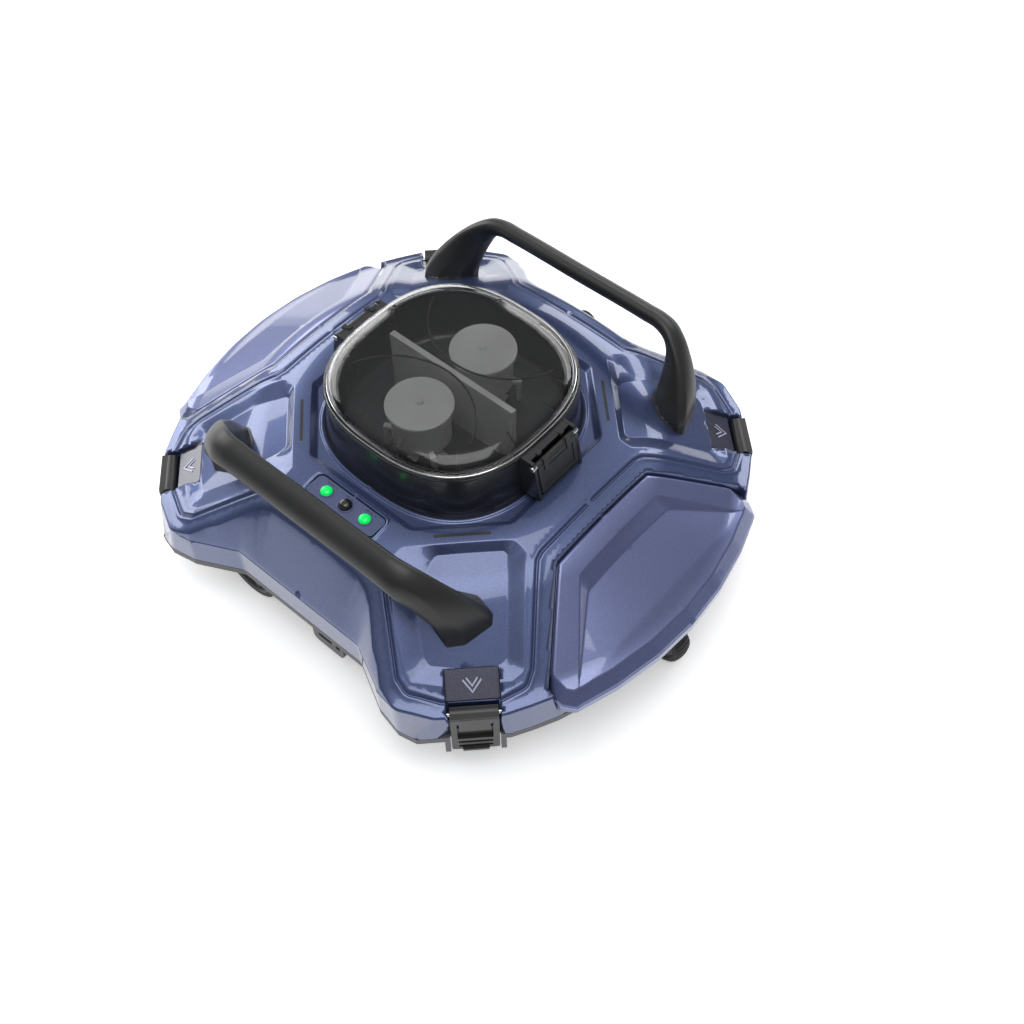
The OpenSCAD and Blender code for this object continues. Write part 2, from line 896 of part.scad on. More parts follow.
module charge_socket() {
    color([0.08, 0.08, 0.08])
    difference() {
        rod_y(socket_r, 0, socket_y - socket_len, socket_y, socket_z);
        rod_y(plug_r + 0.3, 0, socket_y - socket_len + 3, socket_y + 1, socket_z);
    }
}

module charge_plug() {
    color([0.15, 0.15, 0.15])
    union() {
        rod_y(plug_r, 0, socket_y - socket_len + 4, socket_y + 1, socket_z);
        rod_y(socket_r - 0.5, 0, socket_y + 0.2, socket_y + 2.2, socket_z);
    }
}

// Outline of the deep part of the tray, inset by d
module tray_slab(d, low, high) {
    intersection() {
        slab(inset(cover_outline, tray_inset + d), low, high);
        block(d - tray_half, tray_half - d, -half_wid, half_wid, low, high);
    }
}

module wheel_arch() {
    block(-wheel_x - arch_half - arch_wall, arch_half + arch_wall - wheel_x,
        arch_in_y - base_wall, arch_out_y + arch_wall, lip_low_z, arch_top_z + arch_wall);
}

// Spaces in both halves of the base: wheel arches, steering post and clip faces
module base_spaces() {
    for (s = [0, 1])
        mirror([0, s, 0])
            block(-wheel_x - arch_half, arch_half - wheel_x, arch_in_y, arch_out_y, 0, arch_top_z);
    for (a = clip_angles)
        at_clip(a)
            block(clip_wall_u, clip_face_u + 20, -clip_cut, clip_cut, 0, tall);
    translate([steer_x, 0, 0])
        cylinder(r = steer_post_r + run_fit, h = 100);
}

// Flat flange and rim that the cover closes on, with the wheel arches
module bottom_shell() {
    color([0.22, 0.22, 0.23])
    difference() {
        union() {
            slab(cover_outline, lip_low_z, lip_low_z + base_wall);
            difference() {
                slab(cover_outline, lip_low_z, base_top_z);
                slab(inset(cover_outline, base_wall), lip_low_z - 1, base_top_z + 1);
            }
            for (s = [0, 1])
                mirror([0, s, 0])
                    wheel_arch();
            translate([steer_x, 0, lip_low_z])
                cylinder(r = steer_post_r + 5, h = post_h);
        }
        tray_slab(base_wall, 0, lip_low_z + base_wall + 1);
        base_spaces();
    }
}

// Floor of the debris tray, with the intake mouths
module debris_tray() {
    color([0.22, 0.22, 0.23])
    difference() {
        tray_slab(0, tray_z, tray_floor_z);
        base_spaces();
        for (s = [-1, 1])
            block(s * inlet_x - inlet_w / 2, s * inlet_x + inlet_w / 2, -inlet_len / 2, inlet_len / 2,
                0, tray_floor_z + 1);
    }
}

// Wall round the debris tray, up to the flange
module tray_wall() {
    color([0.22, 0.22, 0.23])
    difference() {
        tray_slab(0, tray_floor_z, lip_low_z);
        tray_slab(base_wall, tray_z, lip_low_z + 1);
        base_spaces();
        for (s = [0, 1])
            mirror([0, s, 0])
                rod_y(axle_r, -wheel_x, arch_in_y - base_wall - 1, arch_in_y + 1, wheel_r);
    }
}

// Posts that carry the pins of the intake flaps
module flap_posts() {
    color([0.22, 0.22, 0.23])
    difference() {
        for (s = [-1, 1])
            for (e = [-1, 1])
                translate([s * intake_pin_x - 3, e * (inlet_len / 2 + 5) - 1.5, tray_floor_z])
                    cube([6, 3, 7.5]);
        for (s = [-1, 1])
            rod_y(intake_pin_r, s * intake_pin_x, -inlet_len / 2 - 10, inlet_len / 2 + 10, intake_pin_z);
    }
}

// Lip pieces and prongs on both sides of each clip
module clip_guards() {
    color([0.22, 0.22, 0.23])
        for (a = clip_angles)
            at_clip(a)
                for (s = [-1, 1])
                    intersection() {
                        union() {
                            block(clip_wall_u, clip_face_u + 1, min(s * clip_side, s * clip_cut),
                                max(s * clip_side, s * clip_cut), lip_low_z, base_top_z);
                            block(clip_wall_u, clip_face_u - 0.2, min(s * clip_side, s * (clip_side + 3.6)),
                                max(s * clip_side, s * (clip_side + 3.6)), clip_low_z - 4, base_top_z);
                        }
                        rotate([0, 0, -a])
                            slab(cover_outline, 0, base_top_z);
                    }
}

module shell_seal() {
    color([0.05, 0.05, 0.05])
    difference() {
        slab(inset(cover_outline, base_wall + 0.5), lip_low_z + base_wall, base_top_z - 0.2);
        slab(inset(cover_outline, base_wall + 2.5), lip_low_z, base_top_z + 1);
        for (s = [0, 1])
            mirror([0, s, 0])
                wheel_arch();
        for (a = clip_angles)
            at_clip(a)
                block(clip_wall_u - 6, clip_face_u + 20, -clip_cut, clip_cut, 0, tall);
    }
}

// Plate under the tray with the intake mouths
intake_plate_z = tray_z - 3;
screw_r = 2.8;
screw_h = 1.6;
screw_pocket_r = screw_r + 0.3;
module at_screws() {
    for (x = [-82, 0, 82])
        for (s = [-1, 1])
            translate([x, s * (inlet_len / 2 + 6), intake_plate_z])
                children();
}

module intake_plate() {
    color([0.12, 0.12, 0.12])
    difference() {
        block(-88, 88, -inlet_len / 2 - 12, inlet_len / 2 + 12, intake_plate_z, tray_z);
        for (s = [-1, 1])
            block(s * inlet_x - inlet_w / 2, s * inlet_x + inlet_w / 2, -inlet_len / 2, inlet_len / 2,
                0, tray_z + 1);
        at_screws()
            translate([0, 0, -1])
                cylinder(r = screw_pocket_r, h = screw_h + 1);
    }
}

module intake_screws() {
    color([0.75, 0.75, 0.75])
        at_screws()
            cylinder(r = screw_r, h = screw_h);
}

// Space that the filter leaves for the wheel arches
module arch_relief(gap) {
    for (s = [0, 1])
        mirror([0, s, 0])
            block(-wheel_x - arch_half - arch_wall - gap, arch_half + arch_wall - wheel_x + gap,
                arch_in_y - base_wall - gap, half_wid, 0, tall);
}

module filter_frame() {
    color([0.15, 0.15, 0.16])
    difference() {
        union() {
            difference() {
                tray_slab(0.5, filter_z, filter_z + filter_h);
                tray_slab(base_wall + filter_bar, filter_z - 1, filter_z + filter_h + 1);
            }
            intersection() {
                tray_slab(base_wall, filter_z, filter_z + filter_h);
                union() {
                    for (i = [-3 : 3])
                        block(i * 38 - filter_bar / 2, i * 38 + filter_bar / 2, -half_wid, half_wid, 0, tall);
                    for (i = [-3 : 3])
                        block(-half_len, half_len, i * 38 - filter_bar / 2, i * 38 + filter_bar / 2, 0, tall);
                }
            }
        }
        arch_relief(free_gap);
        tray_slab(base_wall + 2, filter_z + 2, filter_z + 2.8);
    }
}

module filter_screen() {
    color([0.8, 0.8, 0.8])
    difference() {
        tray_slab(base_wall + 2.2, filter_z + 2, filter_z + 2.8);
        arch_relief(free_gap + 2);
    }
}

// Intake flap lying over a slot in the tray floor
module intake_flap() {
    half = inlet_len / 2 + 2.5;
    difference() {
        union() {
            rod_y(intake_barrel_r, intake_pin_x, -half, half, intake_pin_z);
            block(intake_pin_x, inlet_x + inlet_w / 2 + 2, -half, half,
                tray_floor_z + free_gap, tray_floor_z + free_gap + 1.6);
        }
        rod_y(intake_pin_r + run_fit, intake_pin_x, -half - 1, half + 1, intake_pin_z);
    }
}

module intake_flap_front() {
    color([0.3, 0.3, 0.3])
        intake_flap();
}

module intake_flap_rear() {
    color([0.3, 0.3, 0.3])
        mirror([1, 0, 0])
            intake_flap();
}

module intake_pins() {
    color([0.8, 0.8, 0.8])
        for (s = [-1, 1])
            rod_y(intake_pin_r, s * intake_pin_x, -inlet_len / 2 - 6.5, inlet_len / 2 + 6.5, intake_pin_z);
}

// Low brackets under the right and left lips
module side_guides() {
    color([0.25, 0.25, 0.25])
        for (s = [0, 1])
            mirror([0, s, 0])
                difference() {
                    union() {
                        block(3, 33, waist_y - 13, waist_y - 4, 18, lip_low_z);
                        rod_y(5, 28, waist_y - 13, waist_y - 4, 18);
                        rod_y(5, 8, waist_y - 13, waist_y - 4, 18);
                        block(8, 28, waist_y - 13, waist_y - 4, 13, 18);
                    }
                    block(9, 22, waist_y - 20, waist_y, 22, 30);
                    block(26, 30, waist_y - 20, waist_y, 22, 30);
                }
}

// Side wheel: hub with a tyre seated on it
hub_r = wheel_r - 5;
module side_hub() {
    difference() {
        rod_y(hub_r, -wheel_x, wheel_y, wheel_side_y, wheel_r);
        rod_y(hub_r - 6, -wheel_x, wheel_y + wheel_w * 0.6, wheel_side_y + 1, wheel_r);
        rod_y(axle_r + run_fit, -wheel_x, wheel_y - 1, wheel_side_y + 1, wheel_r);
    }
}

module side_tyre() {
    difference() {
        rod_y(wheel_r, -wheel_x, wheel_y, wheel_side_y, wheel_r);
        rod_y(hub_r, -wheel_x, wheel_y - 1, wheel_side_y + 1, wheel_r);
    }
}

module side_hub_left() {
    color([0.3, 0.3, 0.32])
        side_hub();
}

module side_hub_right() {
    color([0.3, 0.3, 0.32])
        mirror([0, 1, 0])
            side_hub();
}

module side_tyre_left() {
    color([0.05, 0.05, 0.05])
        side_tyre();
}

module side_tyre_right() {
    color([0.05, 0.05, 0.05])
        mirror([0, 1, 0])
            side_tyre();
}

module side_axles() {
    color([0.75, 0.75, 0.75])
        for (s = [0, 1])
            mirror([0, s, 0])
                rod_y(axle_r, -wheel_x, arch_in_y - base_wall, wheel_side_y - 1, wheel_r);
}

// Steering fork: a post in the base and two cheeks beside the wheel
module steering_fork() {
    axle_x = steer_x + steer_trail;
    color([0.12, 0.12, 0.12])
    difference() {
        union() {
            translate([steer_x, 0, lip_low_z - 2])
                cylinder(r = steer_post_r, h = post_h + 2);
            translate([steer_x, 0, 22])
                cylinder(r = 8, h = lip_low_z - 0.4 - 22);
            block(steer_x - 4, steer_x + 5, -fork_in - fork_cheek, fork_in + fork_cheek, 22, 34);
            for (s = [0, 1])
                mirror([0, s, 0]) {
                    block(steer_x - 4, axle_x, fork_in, fork_in + fork_cheek, steer_r - 5, steer_r + 12);
                    rod_y(8, axle_x, fork_in, fork_in + fork_cheek, steer_r);
                }
        }
        rod_y(steer_axle_r, axle_x, -30, 30, steer_r);
    }
}

steer_hub_r = steer_r - 6;
module steering_hub() {
    color([0.2, 0.2, 0.2])
    difference() {
        rod_y(steer_hub_r, steer_x + steer_trail, -steer_w / 2, steer_w / 2, steer_r);
        rod_y(steer_axle_r + run_fit, steer_x + steer_trail, -steer_w, steer_w, steer_r);
    }
}

// Crowned tyre of the steering wheel
module steering_tyre() {
    color([0.04, 0.04, 0.04])
        translate([steer_x + steer_trail, 0, steer_r])
            rotate([-90, 0, 0])
                rotate_extrude()
                    polygon([[steer_hub_r, -steer_w / 2], [steer_r - 3, -steer_w / 2],
                        [steer_r - 0.6, -steer_w / 4], [steer_r, -1], [steer_r, 1],
                        [steer_r - 0.6, steer_w / 4], [steer_r - 3, steer_w / 2], [steer_hub_r, steer_w / 2]]);
}

module steering_axle() {
    color([0.75, 0.75, 0.75])
        rod_y(steer_axle_r, steer_x + steer_trail, -fork_in - fork_cheek - 1, fork_in + fork_cheek + 1, steer_r);
}

top_shell();
wing_cover_front();
wing_cover_rear();
wing_floats();
pod_housing();
pod_lid();
pod_gasket();
pod_partition();
outlet_duct_front();
outlet_duct_rear();
outlet_flap_front();
outlet_flap_rear();
outlet_pins();
motor_left();
motor_right();
impeller_left();
impeller_right();
battery_pack();
control_board();
control_panel();
status_lights();
power_button();
handle_left();
handle_right();
clip_front_left();
clip_rear_left();
clip_rear_right();
clip_front_right();
clip_pins();
clip_beds();
charge_socket();
charge_plug();
bottom_shell();
debris_tray();
tray_wall();
flap_posts();
clip_guards();
shell_seal();
intake_plate();
intake_screws();
filter_frame();
filter_screen();
intake_flap_front();
intake_flap_rear();
intake_pins();
side_guides();
side_hub_left();
side_hub_right();
side_tyre_left();
side_tyre_right();
side_axles();
steering_fork();
steering_hub();
steering_tyre();
steering_axle();
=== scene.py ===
# %% [markdown]
# # Cordless pool cleaner
# A domed navy cover clips onto a wheeled debris tray. A black pump pod with a smoky lid stands in the
# middle, two wing covers close the ends, and two black carrying handles run along the sides. Everything is
# drawn in millimetres and stored in metres, in the CAD's own frame: +X is the front, z = 0 the pool floor.

import math

import bmesh
import bpy
import numpy as np
from mathutils import Matrix, Vector
from mathutils.geometry import delaunay_2d_cdt


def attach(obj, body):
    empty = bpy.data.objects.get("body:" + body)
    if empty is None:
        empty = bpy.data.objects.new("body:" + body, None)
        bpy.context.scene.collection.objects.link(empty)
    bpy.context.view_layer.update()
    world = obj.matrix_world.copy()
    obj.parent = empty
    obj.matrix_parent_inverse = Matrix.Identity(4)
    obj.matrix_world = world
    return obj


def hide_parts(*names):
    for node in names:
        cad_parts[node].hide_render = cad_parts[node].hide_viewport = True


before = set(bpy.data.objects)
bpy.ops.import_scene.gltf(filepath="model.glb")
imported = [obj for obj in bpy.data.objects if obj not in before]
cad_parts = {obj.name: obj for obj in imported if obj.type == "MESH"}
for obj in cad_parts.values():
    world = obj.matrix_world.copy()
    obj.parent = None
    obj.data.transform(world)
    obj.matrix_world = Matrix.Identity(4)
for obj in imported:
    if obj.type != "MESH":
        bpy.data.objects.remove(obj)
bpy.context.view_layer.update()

# %% [markdown]
# ## Drawing helpers
# A piece is an array of points and arrays of faces, written to a mesh in one go.

# %% Mesh from arrays
MM = 0.001


def piece(name, verts, faces, crease=35.0, normals=None):
    """Mesh object from points in millimetres and a list of index arrays with 3 or 4 columns.
    Edges sharper than crease degrees stay hard, unless normals gives one normal per point."""
    faces = [np.asarray(f, np.int32) for f in faces if len(f)]
    sizes = np.concatenate([np.full(len(f), f.shape[1]) for f in faces])
    loops = np.concatenate([f.ravel() for f in faces])
    mesh = bpy.data.meshes.new(name)
    mesh.vertices.add(len(verts))
    mesh.vertices.foreach_set("co", (np.asarray(verts, np.float64) * MM).ravel())
    mesh.loops.add(len(loops))
    mesh.loops.foreach_set("vertex_index", loops)
    mesh.polygons.add(len(sizes))
    mesh.polygons.foreach_set("loop_start", np.concatenate([[0], np.cumsum(sizes)[:-1]]).astype(np.int32))
    mesh.polygons.foreach_set("use_smooth", np.ones(len(sizes), bool))
    mesh.update(calc_edges=True)
    if normals is None:
        mesh.set_sharp_from_angle(angle=math.radians(crease))
    else:
        mesh.normals_split_custom_set_from_vertices(normals.tolist())
    obj = bpy.data.objects.new(name, mesh)
    bpy.context.scene.collection.objects.link(obj)
    return obj


def outward(obj, crease=35.0):
    """Turns the faces of a closed mesh outwards."""
    bm = bmesh.new()
    bm.from_mesh(obj.data)
    bmesh.ops.remove_doubles(bm, verts=bm.verts, dist=1e-6)
    bmesh.ops.recalc_face_normals(bm, faces=bm.faces)
    bm.to_mesh(obj.data)
    bm.free()
    obj.data.set_sharp_from_angle(angle=math.radians(crease))
    return obj


def bevel(obj, width, segments=2):
    """Rounds the hard edges by a radius in millimetres."""
    mod = obj.modifiers.new("edges", "BEVEL")
    mod.width = width * MM
    mod.segments = segments
    mod.limit_method = "ANGLE"
    mod.angle_limit = math.radians(40)
    mod.harden_normals = True
    return obj


def grid(rows, cols, wrap=False):
    """Quads between neighbouring rows of a grid of points; wrap joins the last column to the first."""
    i, j = np.meshgrid(np.arange(rows - 1), np.arange(cols if wrap else cols - 1), indexing="ij")
    k = (j + 1) % cols
    return np.stack([i * cols + j, i * cols + k, (i + 1) * cols + k, (i + 1) * cols + j], -1).reshape(-1, 4)


def loft(name, rings, ends=(True, True), crease=35.0):
    """Skin through closed rings of points, shape (rings, points, 3); a fan closes each open end."""
    rings = np.asarray(rings, float)
    rows, cols = rings.shape[:2]
    verts = [rings.reshape(-1, 3)]
    faces = [grid(rows, cols, True)]
    count = rows * cols
    j = np.arange(cols)
    for end, row in ((ends[0], 0), (ends[1], rows - 1)):
        if end:
            verts.append(rings[row].mean(0)[None])
            faces.append(np.stack([row * cols + j, row * cols + (j + 1) % cols, np.full(cols, count)], 1))
            count += 1
    return outward(piece(name, np.concatenate(verts), faces, crease), crease)


def merged(name, parts):
    """Joins objects into one piece with a name of its own; the objects themselves are removed."""
    verts, faces, count = [], [], 0
    for part in parts:
        mesh = part.data
        co = np.empty(len(mesh.vertices) * 3)
        mesh.vertices.foreach_get("co", co)
        verts.append(co.reshape(-1, 3) / MM)
        sizes = np.empty(len(mesh.polygons), np.int32)
        mesh.polygons.foreach_get("loop_total", sizes)
        loops = np.empty(len(mesh.loops), np.int32)
        mesh.loops.foreach_get("vertex_index", loops)
        starts = np.concatenate([[0], np.cumsum(sizes)[:-1]]).astype(int)
        for n in (3, 4):
            pick = starts[sizes == n]
            if len(pick):
                faces.append(loops[pick[:, None] + np.arange(n)] + count)
        count += len(mesh.vertices)
        bpy.data.objects.remove(part)
        bpy.data.meshes.remove(mesh)
    return piece(name, np.concatenate(verts), faces)


# %% Plane outlines
def unit(v):
    """The vector at length 1."""
    return v / np.linalg.norm(v)


def rounded(corners, radius, closed=True, steps=5):
    """Outline with every corner replaced by an arc of that radius, shortened where the sides are short."""
    p = np.asarray(corners, float)
    radius = np.broadcast_to(radius, len(p))
    t = np.linspace(0, 1, steps + 1)[:, None]
    out = []
    for i in range(len(p)):
        b = p[i]
        if not closed and i in (0, len(p) - 1):
            out.append(b[None])
            continue
        a, c = p[i - 1] - b, p[(i + 1) % len(p)] - b
        half = math.acos(np.clip(unit(a) @ unit(c), -1, 1)) / 2
        cut = min(radius[i] / math.tan(half), 0.48 * np.linalg.norm(a), 0.48 * np.linalg.norm(c))
        if half > 1.54 or radius[i] <= 0:
            out.append(np.repeat(b[None], steps + 1, 0) + (t - 0.5) * 1e-3 * unit(c))
            continue
        start, stop = b + unit(a) * cut, b + unit(c) * cut
        centre = b + unit(unit(a) + unit(c)) * cut / math.cos(half)
        s, e = start - centre, stop - centre
        turn = math.pi - 2 * half
        out.append(centre + (np.sin((1 - t) * turn) * s + np.sin(t * turn) * e) / math.sin(turn))
    return np.concatenate(out)


def densify(line, step, closed=True):
    """Adds points so that no side is longer than step."""
    a = line if closed else line[:-1]
    b = np.roll(line, -1, 0) if closed else line[1:]
    parts = [p + (q - p) * (np.arange(n) / n)[:, None]
             for p, q, n in zip(a, b,
                                np.maximum(1, np.ceil(np.linalg.norm(b - a, axis=1) / step)).astype(int))]
    return np.concatenate(parts + ([] if closed else [line[-1:]]))


def shifted(line, d, closed=True):
    """Moves a line to its left by d, each point along the mean normal of its two sides."""
    ahead = np.roll(line, -1, 0) - line
    back = line - np.roll(line, 1, 0)
    if not closed:
        ahead[-1], back[0] = back[-1], ahead[0]
    ahead = ahead / np.maximum(np.linalg.norm(ahead, axis=1, keepdims=True), 1e-9)
    back = back / np.maximum(np.linalg.norm(back, axis=1, keepdims=True), 1e-9)
    m = ahead + back
    m = m / np.linalg.norm(m, axis=1, keepdims=True)
    return line + d * np.stack([-m[:, 1], m[:, 0]], 1)


def distance(p, line, closed=True):
    """Distance of each point from a line of straight sides."""
    a = line if closed else line[:-1]
    b = np.roll(line, -1, 0) if closed else line[1:]
    keep = np.linalg.norm(b - a, axis=1) > 1e-6
    a, b = a[keep], b[keep]
    best = np.full(len(p), 1e9)
    for i in range(0, len(a), 64):
        s, e = a[i:i + 64], (b - a)[i:i + 64]
        w = p[:, None] - s
        t = np.clip((w * e).sum(-1) / (e * e).sum(-1), 0, 1)
        best = np.minimum(best, np.linalg.norm(w - t[..., None] * e, axis=-1).min(1))
    return best


def inside(p, line):
    """Even-odd test of points against a closed outline."""
    a, b = line, np.roll(line, -1, 0)
    x, y = p[:, :1], p[:, 1:]
    over = (a[:, 1] > y) != (b[:, 1] > y)
    slope = (b[:, 0] - a[:, 0]) / np.where(b[:, 1] == a[:, 1], 1e-12, b[:, 1] - a[:, 1])
    return (over & (x < a[:, 0] + slope * (y - a[:, 1]))).sum(1) % 2 == 1


def signed(p, line):
    """Distance from a closed outline, negative inside."""
    return distance(p, line) * np.where(inside(p, line), -1, 1)


def ramp(t, w):
    """0 before t = 0, t after it, joined by a parabola of half width w."""
    return np.where(t < -w, 0, np.where(t > w, t, (t + w) ** 2 / (4 * w)))


def rise(t, w=0.12):
    """0 to 1 as t goes from 0 to 1, straight in the middle and rounded at both ends."""
    return ramp(t, w) - ramp(t - 1, w)


def smooth(t):
    """0 to 1 as t goes from 0 to 1, by 3 t^2 - 2 t^3."""
    t = np.clip(t, 0, 1)
    return t * t * (3 - 2 * t)


def bump_at(t, wide):
    """Bell of height 1 at t = 0: exp(-(t / wide)^2)."""
    return np.exp(-(t / wide) ** 2)


# %% Triangles of flat drawings
def winding(xy, tri):
    """Twice the area of each triangle, positive when its corners run anticlockwise."""
    a, b, c = xy[tri[:, 0]], xy[tri[:, 1]], xy[tri[:, 2]]
    return (b[:, 0] - a[:, 0]) * (c[:, 1] - a[:, 1]) - (b[:, 1] - a[:, 1]) * (c[:, 0] - a[:, 0])


def open_edges(tri, place=None):
    """Edges that only one triangle has. place gives points that lie together the same number."""
    e = np.concatenate([tri[:, [0, 1]], tri[:, [1, 2]], tri[:, [2, 0]]])
    pair = np.sort(e if place is None else place[e], axis=1)
    _, idx, hits = np.unique(pair, axis=0, return_index=True, return_counts=True)
    return e[idx[hits == 1]]


# %% [markdown]
# ## Sheets with pressed-in features
# The cover and wing covers are one moulded sheet each: a dome with pads, grooves and a well pressed into
# it. Their height is written as a function of x and y, and the sheet is cut into triangles whose edges
# follow the outlines of the features. That gives crisp bevels on few triangles, which a regular grid can't
# do, and the shading normals are taken from the height function itself, so that the broad dome reflects
# like a moulding.

# %% Sheet from a height function
def sheet(region, lines, height, spacing=3.0):
    """Points, triangles and normals of z = height(x, y) in an outline; the triangles follow the lines."""
    loops = [(region, True)] + [(line, closed) for line, closed in lines]
    points, edges, count = [], [], 0
    for line, closed in loops:
        n = len(line)
        k = np.arange(n if closed else n - 1)
        points.append(line)
        edges.append(np.stack([k, (k + 1) % n], 1) + count)
        count += n
    lo, hi = region.min(0), region.max(0)
    gx, gy = np.meshgrid(np.arange(lo[0], hi[0], spacing), np.arange(lo[1], hi[1], spacing * 0.87))
    gx[1::2] += spacing / 2
    free = np.stack([gx.ravel(), gy.ravel()], 1)
    free = free[inside(free, region)]
    for line, closed in loops:
        free = free[distance(free, line, closed) > spacing * 0.4]
    flat = np.concatenate(points + [free])
    out = delaunay_2d_cdt([Vector(q) for q in flat.tolist()], np.concatenate(edges).tolist(), [], 0, 1e-5)
    xy = np.array([list(v) for v in out[0]])
    tri = np.array(out[2])
    mid = xy[tri].mean(1)
    tri = tri[inside(mid, region)]
    turn = winding(xy, tri)
    tri = np.where((turn < 0)[:, None], tri[:, ::-1], tri)[np.abs(turn) > 1e-7]
    used, tri = np.unique(tri, return_inverse=True)
    tri, xy = tri.reshape(-1, 3), xy[used]
    step = 0.08
    dx = (height(xy + [step, 0]) - height(xy - [step, 0])) / (2 * step)
    dy = (height(xy + [0, step]) - height(xy - [0, step])) / (2 * step)
    normal = np.stack([-dx, -dy, np.ones(len(xy))], 1)
    normal /= np.linalg.norm(normal, axis=1, keepdims=True)
    return np.column_stack([xy, height(xy)]), tri, normal


def skirt(top, low, drop_rows=4):
    """Wall from an open line of points at the top to the matching line at the bottom, outside on the left."""
    t = np.linspace(0, 1, drop_rows)[:, None, None]
    rows = top[None] * (1 - t) + low[None] * t
    verts = rows.reshape(-1, 3)
    along = np.gradient(low[:, :2], axis=0)
    normal = np.stack([along[:, 1], -along[:, 0], np.zeros(len(low))], 1)
    normal /= np.maximum(np.linalg.norm(normal, axis=1, keepdims=True), 1e-9)
    q = grid(drop_rows, len(top))[:, ::-1]
    return verts, np.concatenate([q[:, [0, 1, 2]], q[:, [0, 2, 3]]]), np.tile(normal, (drop_rows, 1))


def joined(*sheets):
    """Puts (points, triangles, normals) sets together."""
    count = np.cumsum([0] + [len(s[0]) for s in sheets])
    return (np.concatenate([s[0] for s in sheets]), np.concatenate([s[1] + c for s, c in zip(sheets, count)]),
            np.concatenate([s[2] for s in sheets]))


def mirror(surface, sx, sy):
    """Mirror image of a set; the triangles are turned over when only one axis is flipped."""
    v, f, n = surface
    m = np.array([sx, sy, 1.0])
    return v * m, f[:, ::-1] if sx * sy < 0 else f, n * m


def thick_piece(name, surface, wall):
    """Object with an inner face at the wall's depth along the normals, and a rim round every open edge."""
    v, f, n = surface
    key = np.round(np.column_stack([v, n * 0.05]), 3)
    _, first, back = np.unique(key, axis=0, return_index=True, return_inverse=True)
    v, n, f = v[first], n[first], back.reshape(-1)[f]
    f = f[(f[:, 0] != f[:, 1]) & (f[:, 1] != f[:, 2]) & (f[:, 0] != f[:, 2])]
    f = f[np.sort(np.unique(np.sort(f, 1), axis=0, return_index=True)[1])]
    place = np.unique(np.round(v, 2), axis=0, return_inverse=True)[1].reshape(-1)
    rim = open_edges(f, place)
    k = len(v)
    inner = v - n * wall
    walls = np.stack([rim[:, 1], rim[:, 0], rim[:, 0] + k, rim[:, 1] + k], 1)
    return piece(name, np.concatenate([v, inner]), [np.concatenate([f, f[:, ::-1] + k]), walls],
                 normals=np.concatenate([n, -n]))


# %% [markdown]
# ## Cover
# Dome height over the deck, brow and foot, then the outlines of one quarter.

# %% Dome and outlines of one quarter of the cover
DOME_R = np.array([112.0, 143.0, 205.0])
DOME_TURN = np.array([-0.2258, -0.4185, 0.361])
DOME_SOFT = np.array([8.0, 10.0, 5.0])
DECK_Z = 118
SEAM_Z = 44.2
SHEET = 1.8


def dome(p):
    """Height of the dome: flat to r = 112, then three slopes joined by soft bends."""
    r = np.hypot(p[:, 0], p[:, 1])
    return DECK_Z + (DOME_TURN * ramp(r[:, None] - DOME_R, DOME_SOFT)).sum(1)


BOW = [(206 - (y / 107.0) ** 2 * 21.0, y) for y in (0, 18, 36, 54, 72, 90)]
crease_line = BOW + [(183.8, 107), (175.5, 123), (166.5, 138.5), (134, 170.5), (109.6, 182.5), (92, 179.5),
                     (58, 163), (0, 163)]
seam_line = BOW + [(186, 107), (178, 123), (170, 137), (126, 181), (112.24, 184), (92.24, 180),
                   (58.24, 163), (0, 163)]
bend = [0, 0, 0, 0, 0, 0, 4, 10, 12, 14, 12, 10, 10, 0]


def along_edge(corners):
    """Edge line of a quarter: the same number of points between the same corners, so that two lines match."""
    line = rounded(corners, bend, closed=False)
    counts = [max(1, int(math.ceil(np.linalg.norm(b - a) / 3)))
              for a, b in zip(EDGE_MODEL[:-1], EDGE_MODEL[1:])]
    parts = [a + (b - a) * (np.arange(n) / n)[:, None] for a, b, n in zip(line[:-1], line[1:], counts)]
    return np.concatenate(parts + [line[-1:]])


EDGE_MODEL = rounded(seam_line, bend, closed=False)
crease_edge = along_edge(crease_line)
seam_edge = along_edge(seam_line)

WING = rounded([(134.5, -48), (177.6, -107), (187.6, -107), (196.2, -101.5), (206.5, -70), (213.6, -35),
                (216, 0), (213.6, 35), (206.5, 70), (196.2, 101.5), (187.6, 107), (177.6, 107),
                (134.5, 48)],
               [5, 4, 4, 5, 60, 60, 60, 60, 60, 5, 4, 4, 5], steps=4)
PAD_TOP = rounded([(52, 108.5), (104.3, 55.8), (114.5, 56.2), (158.6, 110), (156.5, 120), (124, 152.5),
                   (107.5, 163.5), (101, 161.3), (64.5, 135.5),
                   (51.5, 116)], [4, 5, 5, 6, 6, 6, 4, 4, 8, 5])
PAD_FLOOR = rounded([(70.8, 96.5), (102.2, 64.6), (106, 64.8), (145.6, 112), (144.3, 117.8), (127.5, 136),
                     (110.5, 148.2), (104, 147), (84.5, 131.8),
                     (71.4, 103)], [4, 3, 3, 4, 4, 30, 4, 4, 8, 5])
GROOVE = rounded([(0, 128.3), (52.5, 128.3), (62.5, 137), (99.5, 168), (109.5, 170), (131, 159.5),
                  (158.5, 133), (165.6, 116), (162, 106), (124, 56.3), (122.3, 50),
                  (122.3, 0)], [0, 8, 8, 6, 6, 8, 8, 7, 6, 5, 5, 0],
                  closed=False)
WAIST = rounded([(0, 139.5), (41, 139.5), (50, 142.3), (58.3, 148.2), (75.3, 164.8), (84, 170), (92.7, 178),
                 (104, 181.9)],
                [0, 10, 10, 20, 10, 10, 8, 0], closed=False)
WELL = rounded([(95.5, -47.5), (95.5, 47.5), (47.5, 95.5), (-47.5, 95.5), (-95.5, 47.5), (-95.5, -47.5),
                (-47.5, -95.5), (47.5, -95.5)], 9)
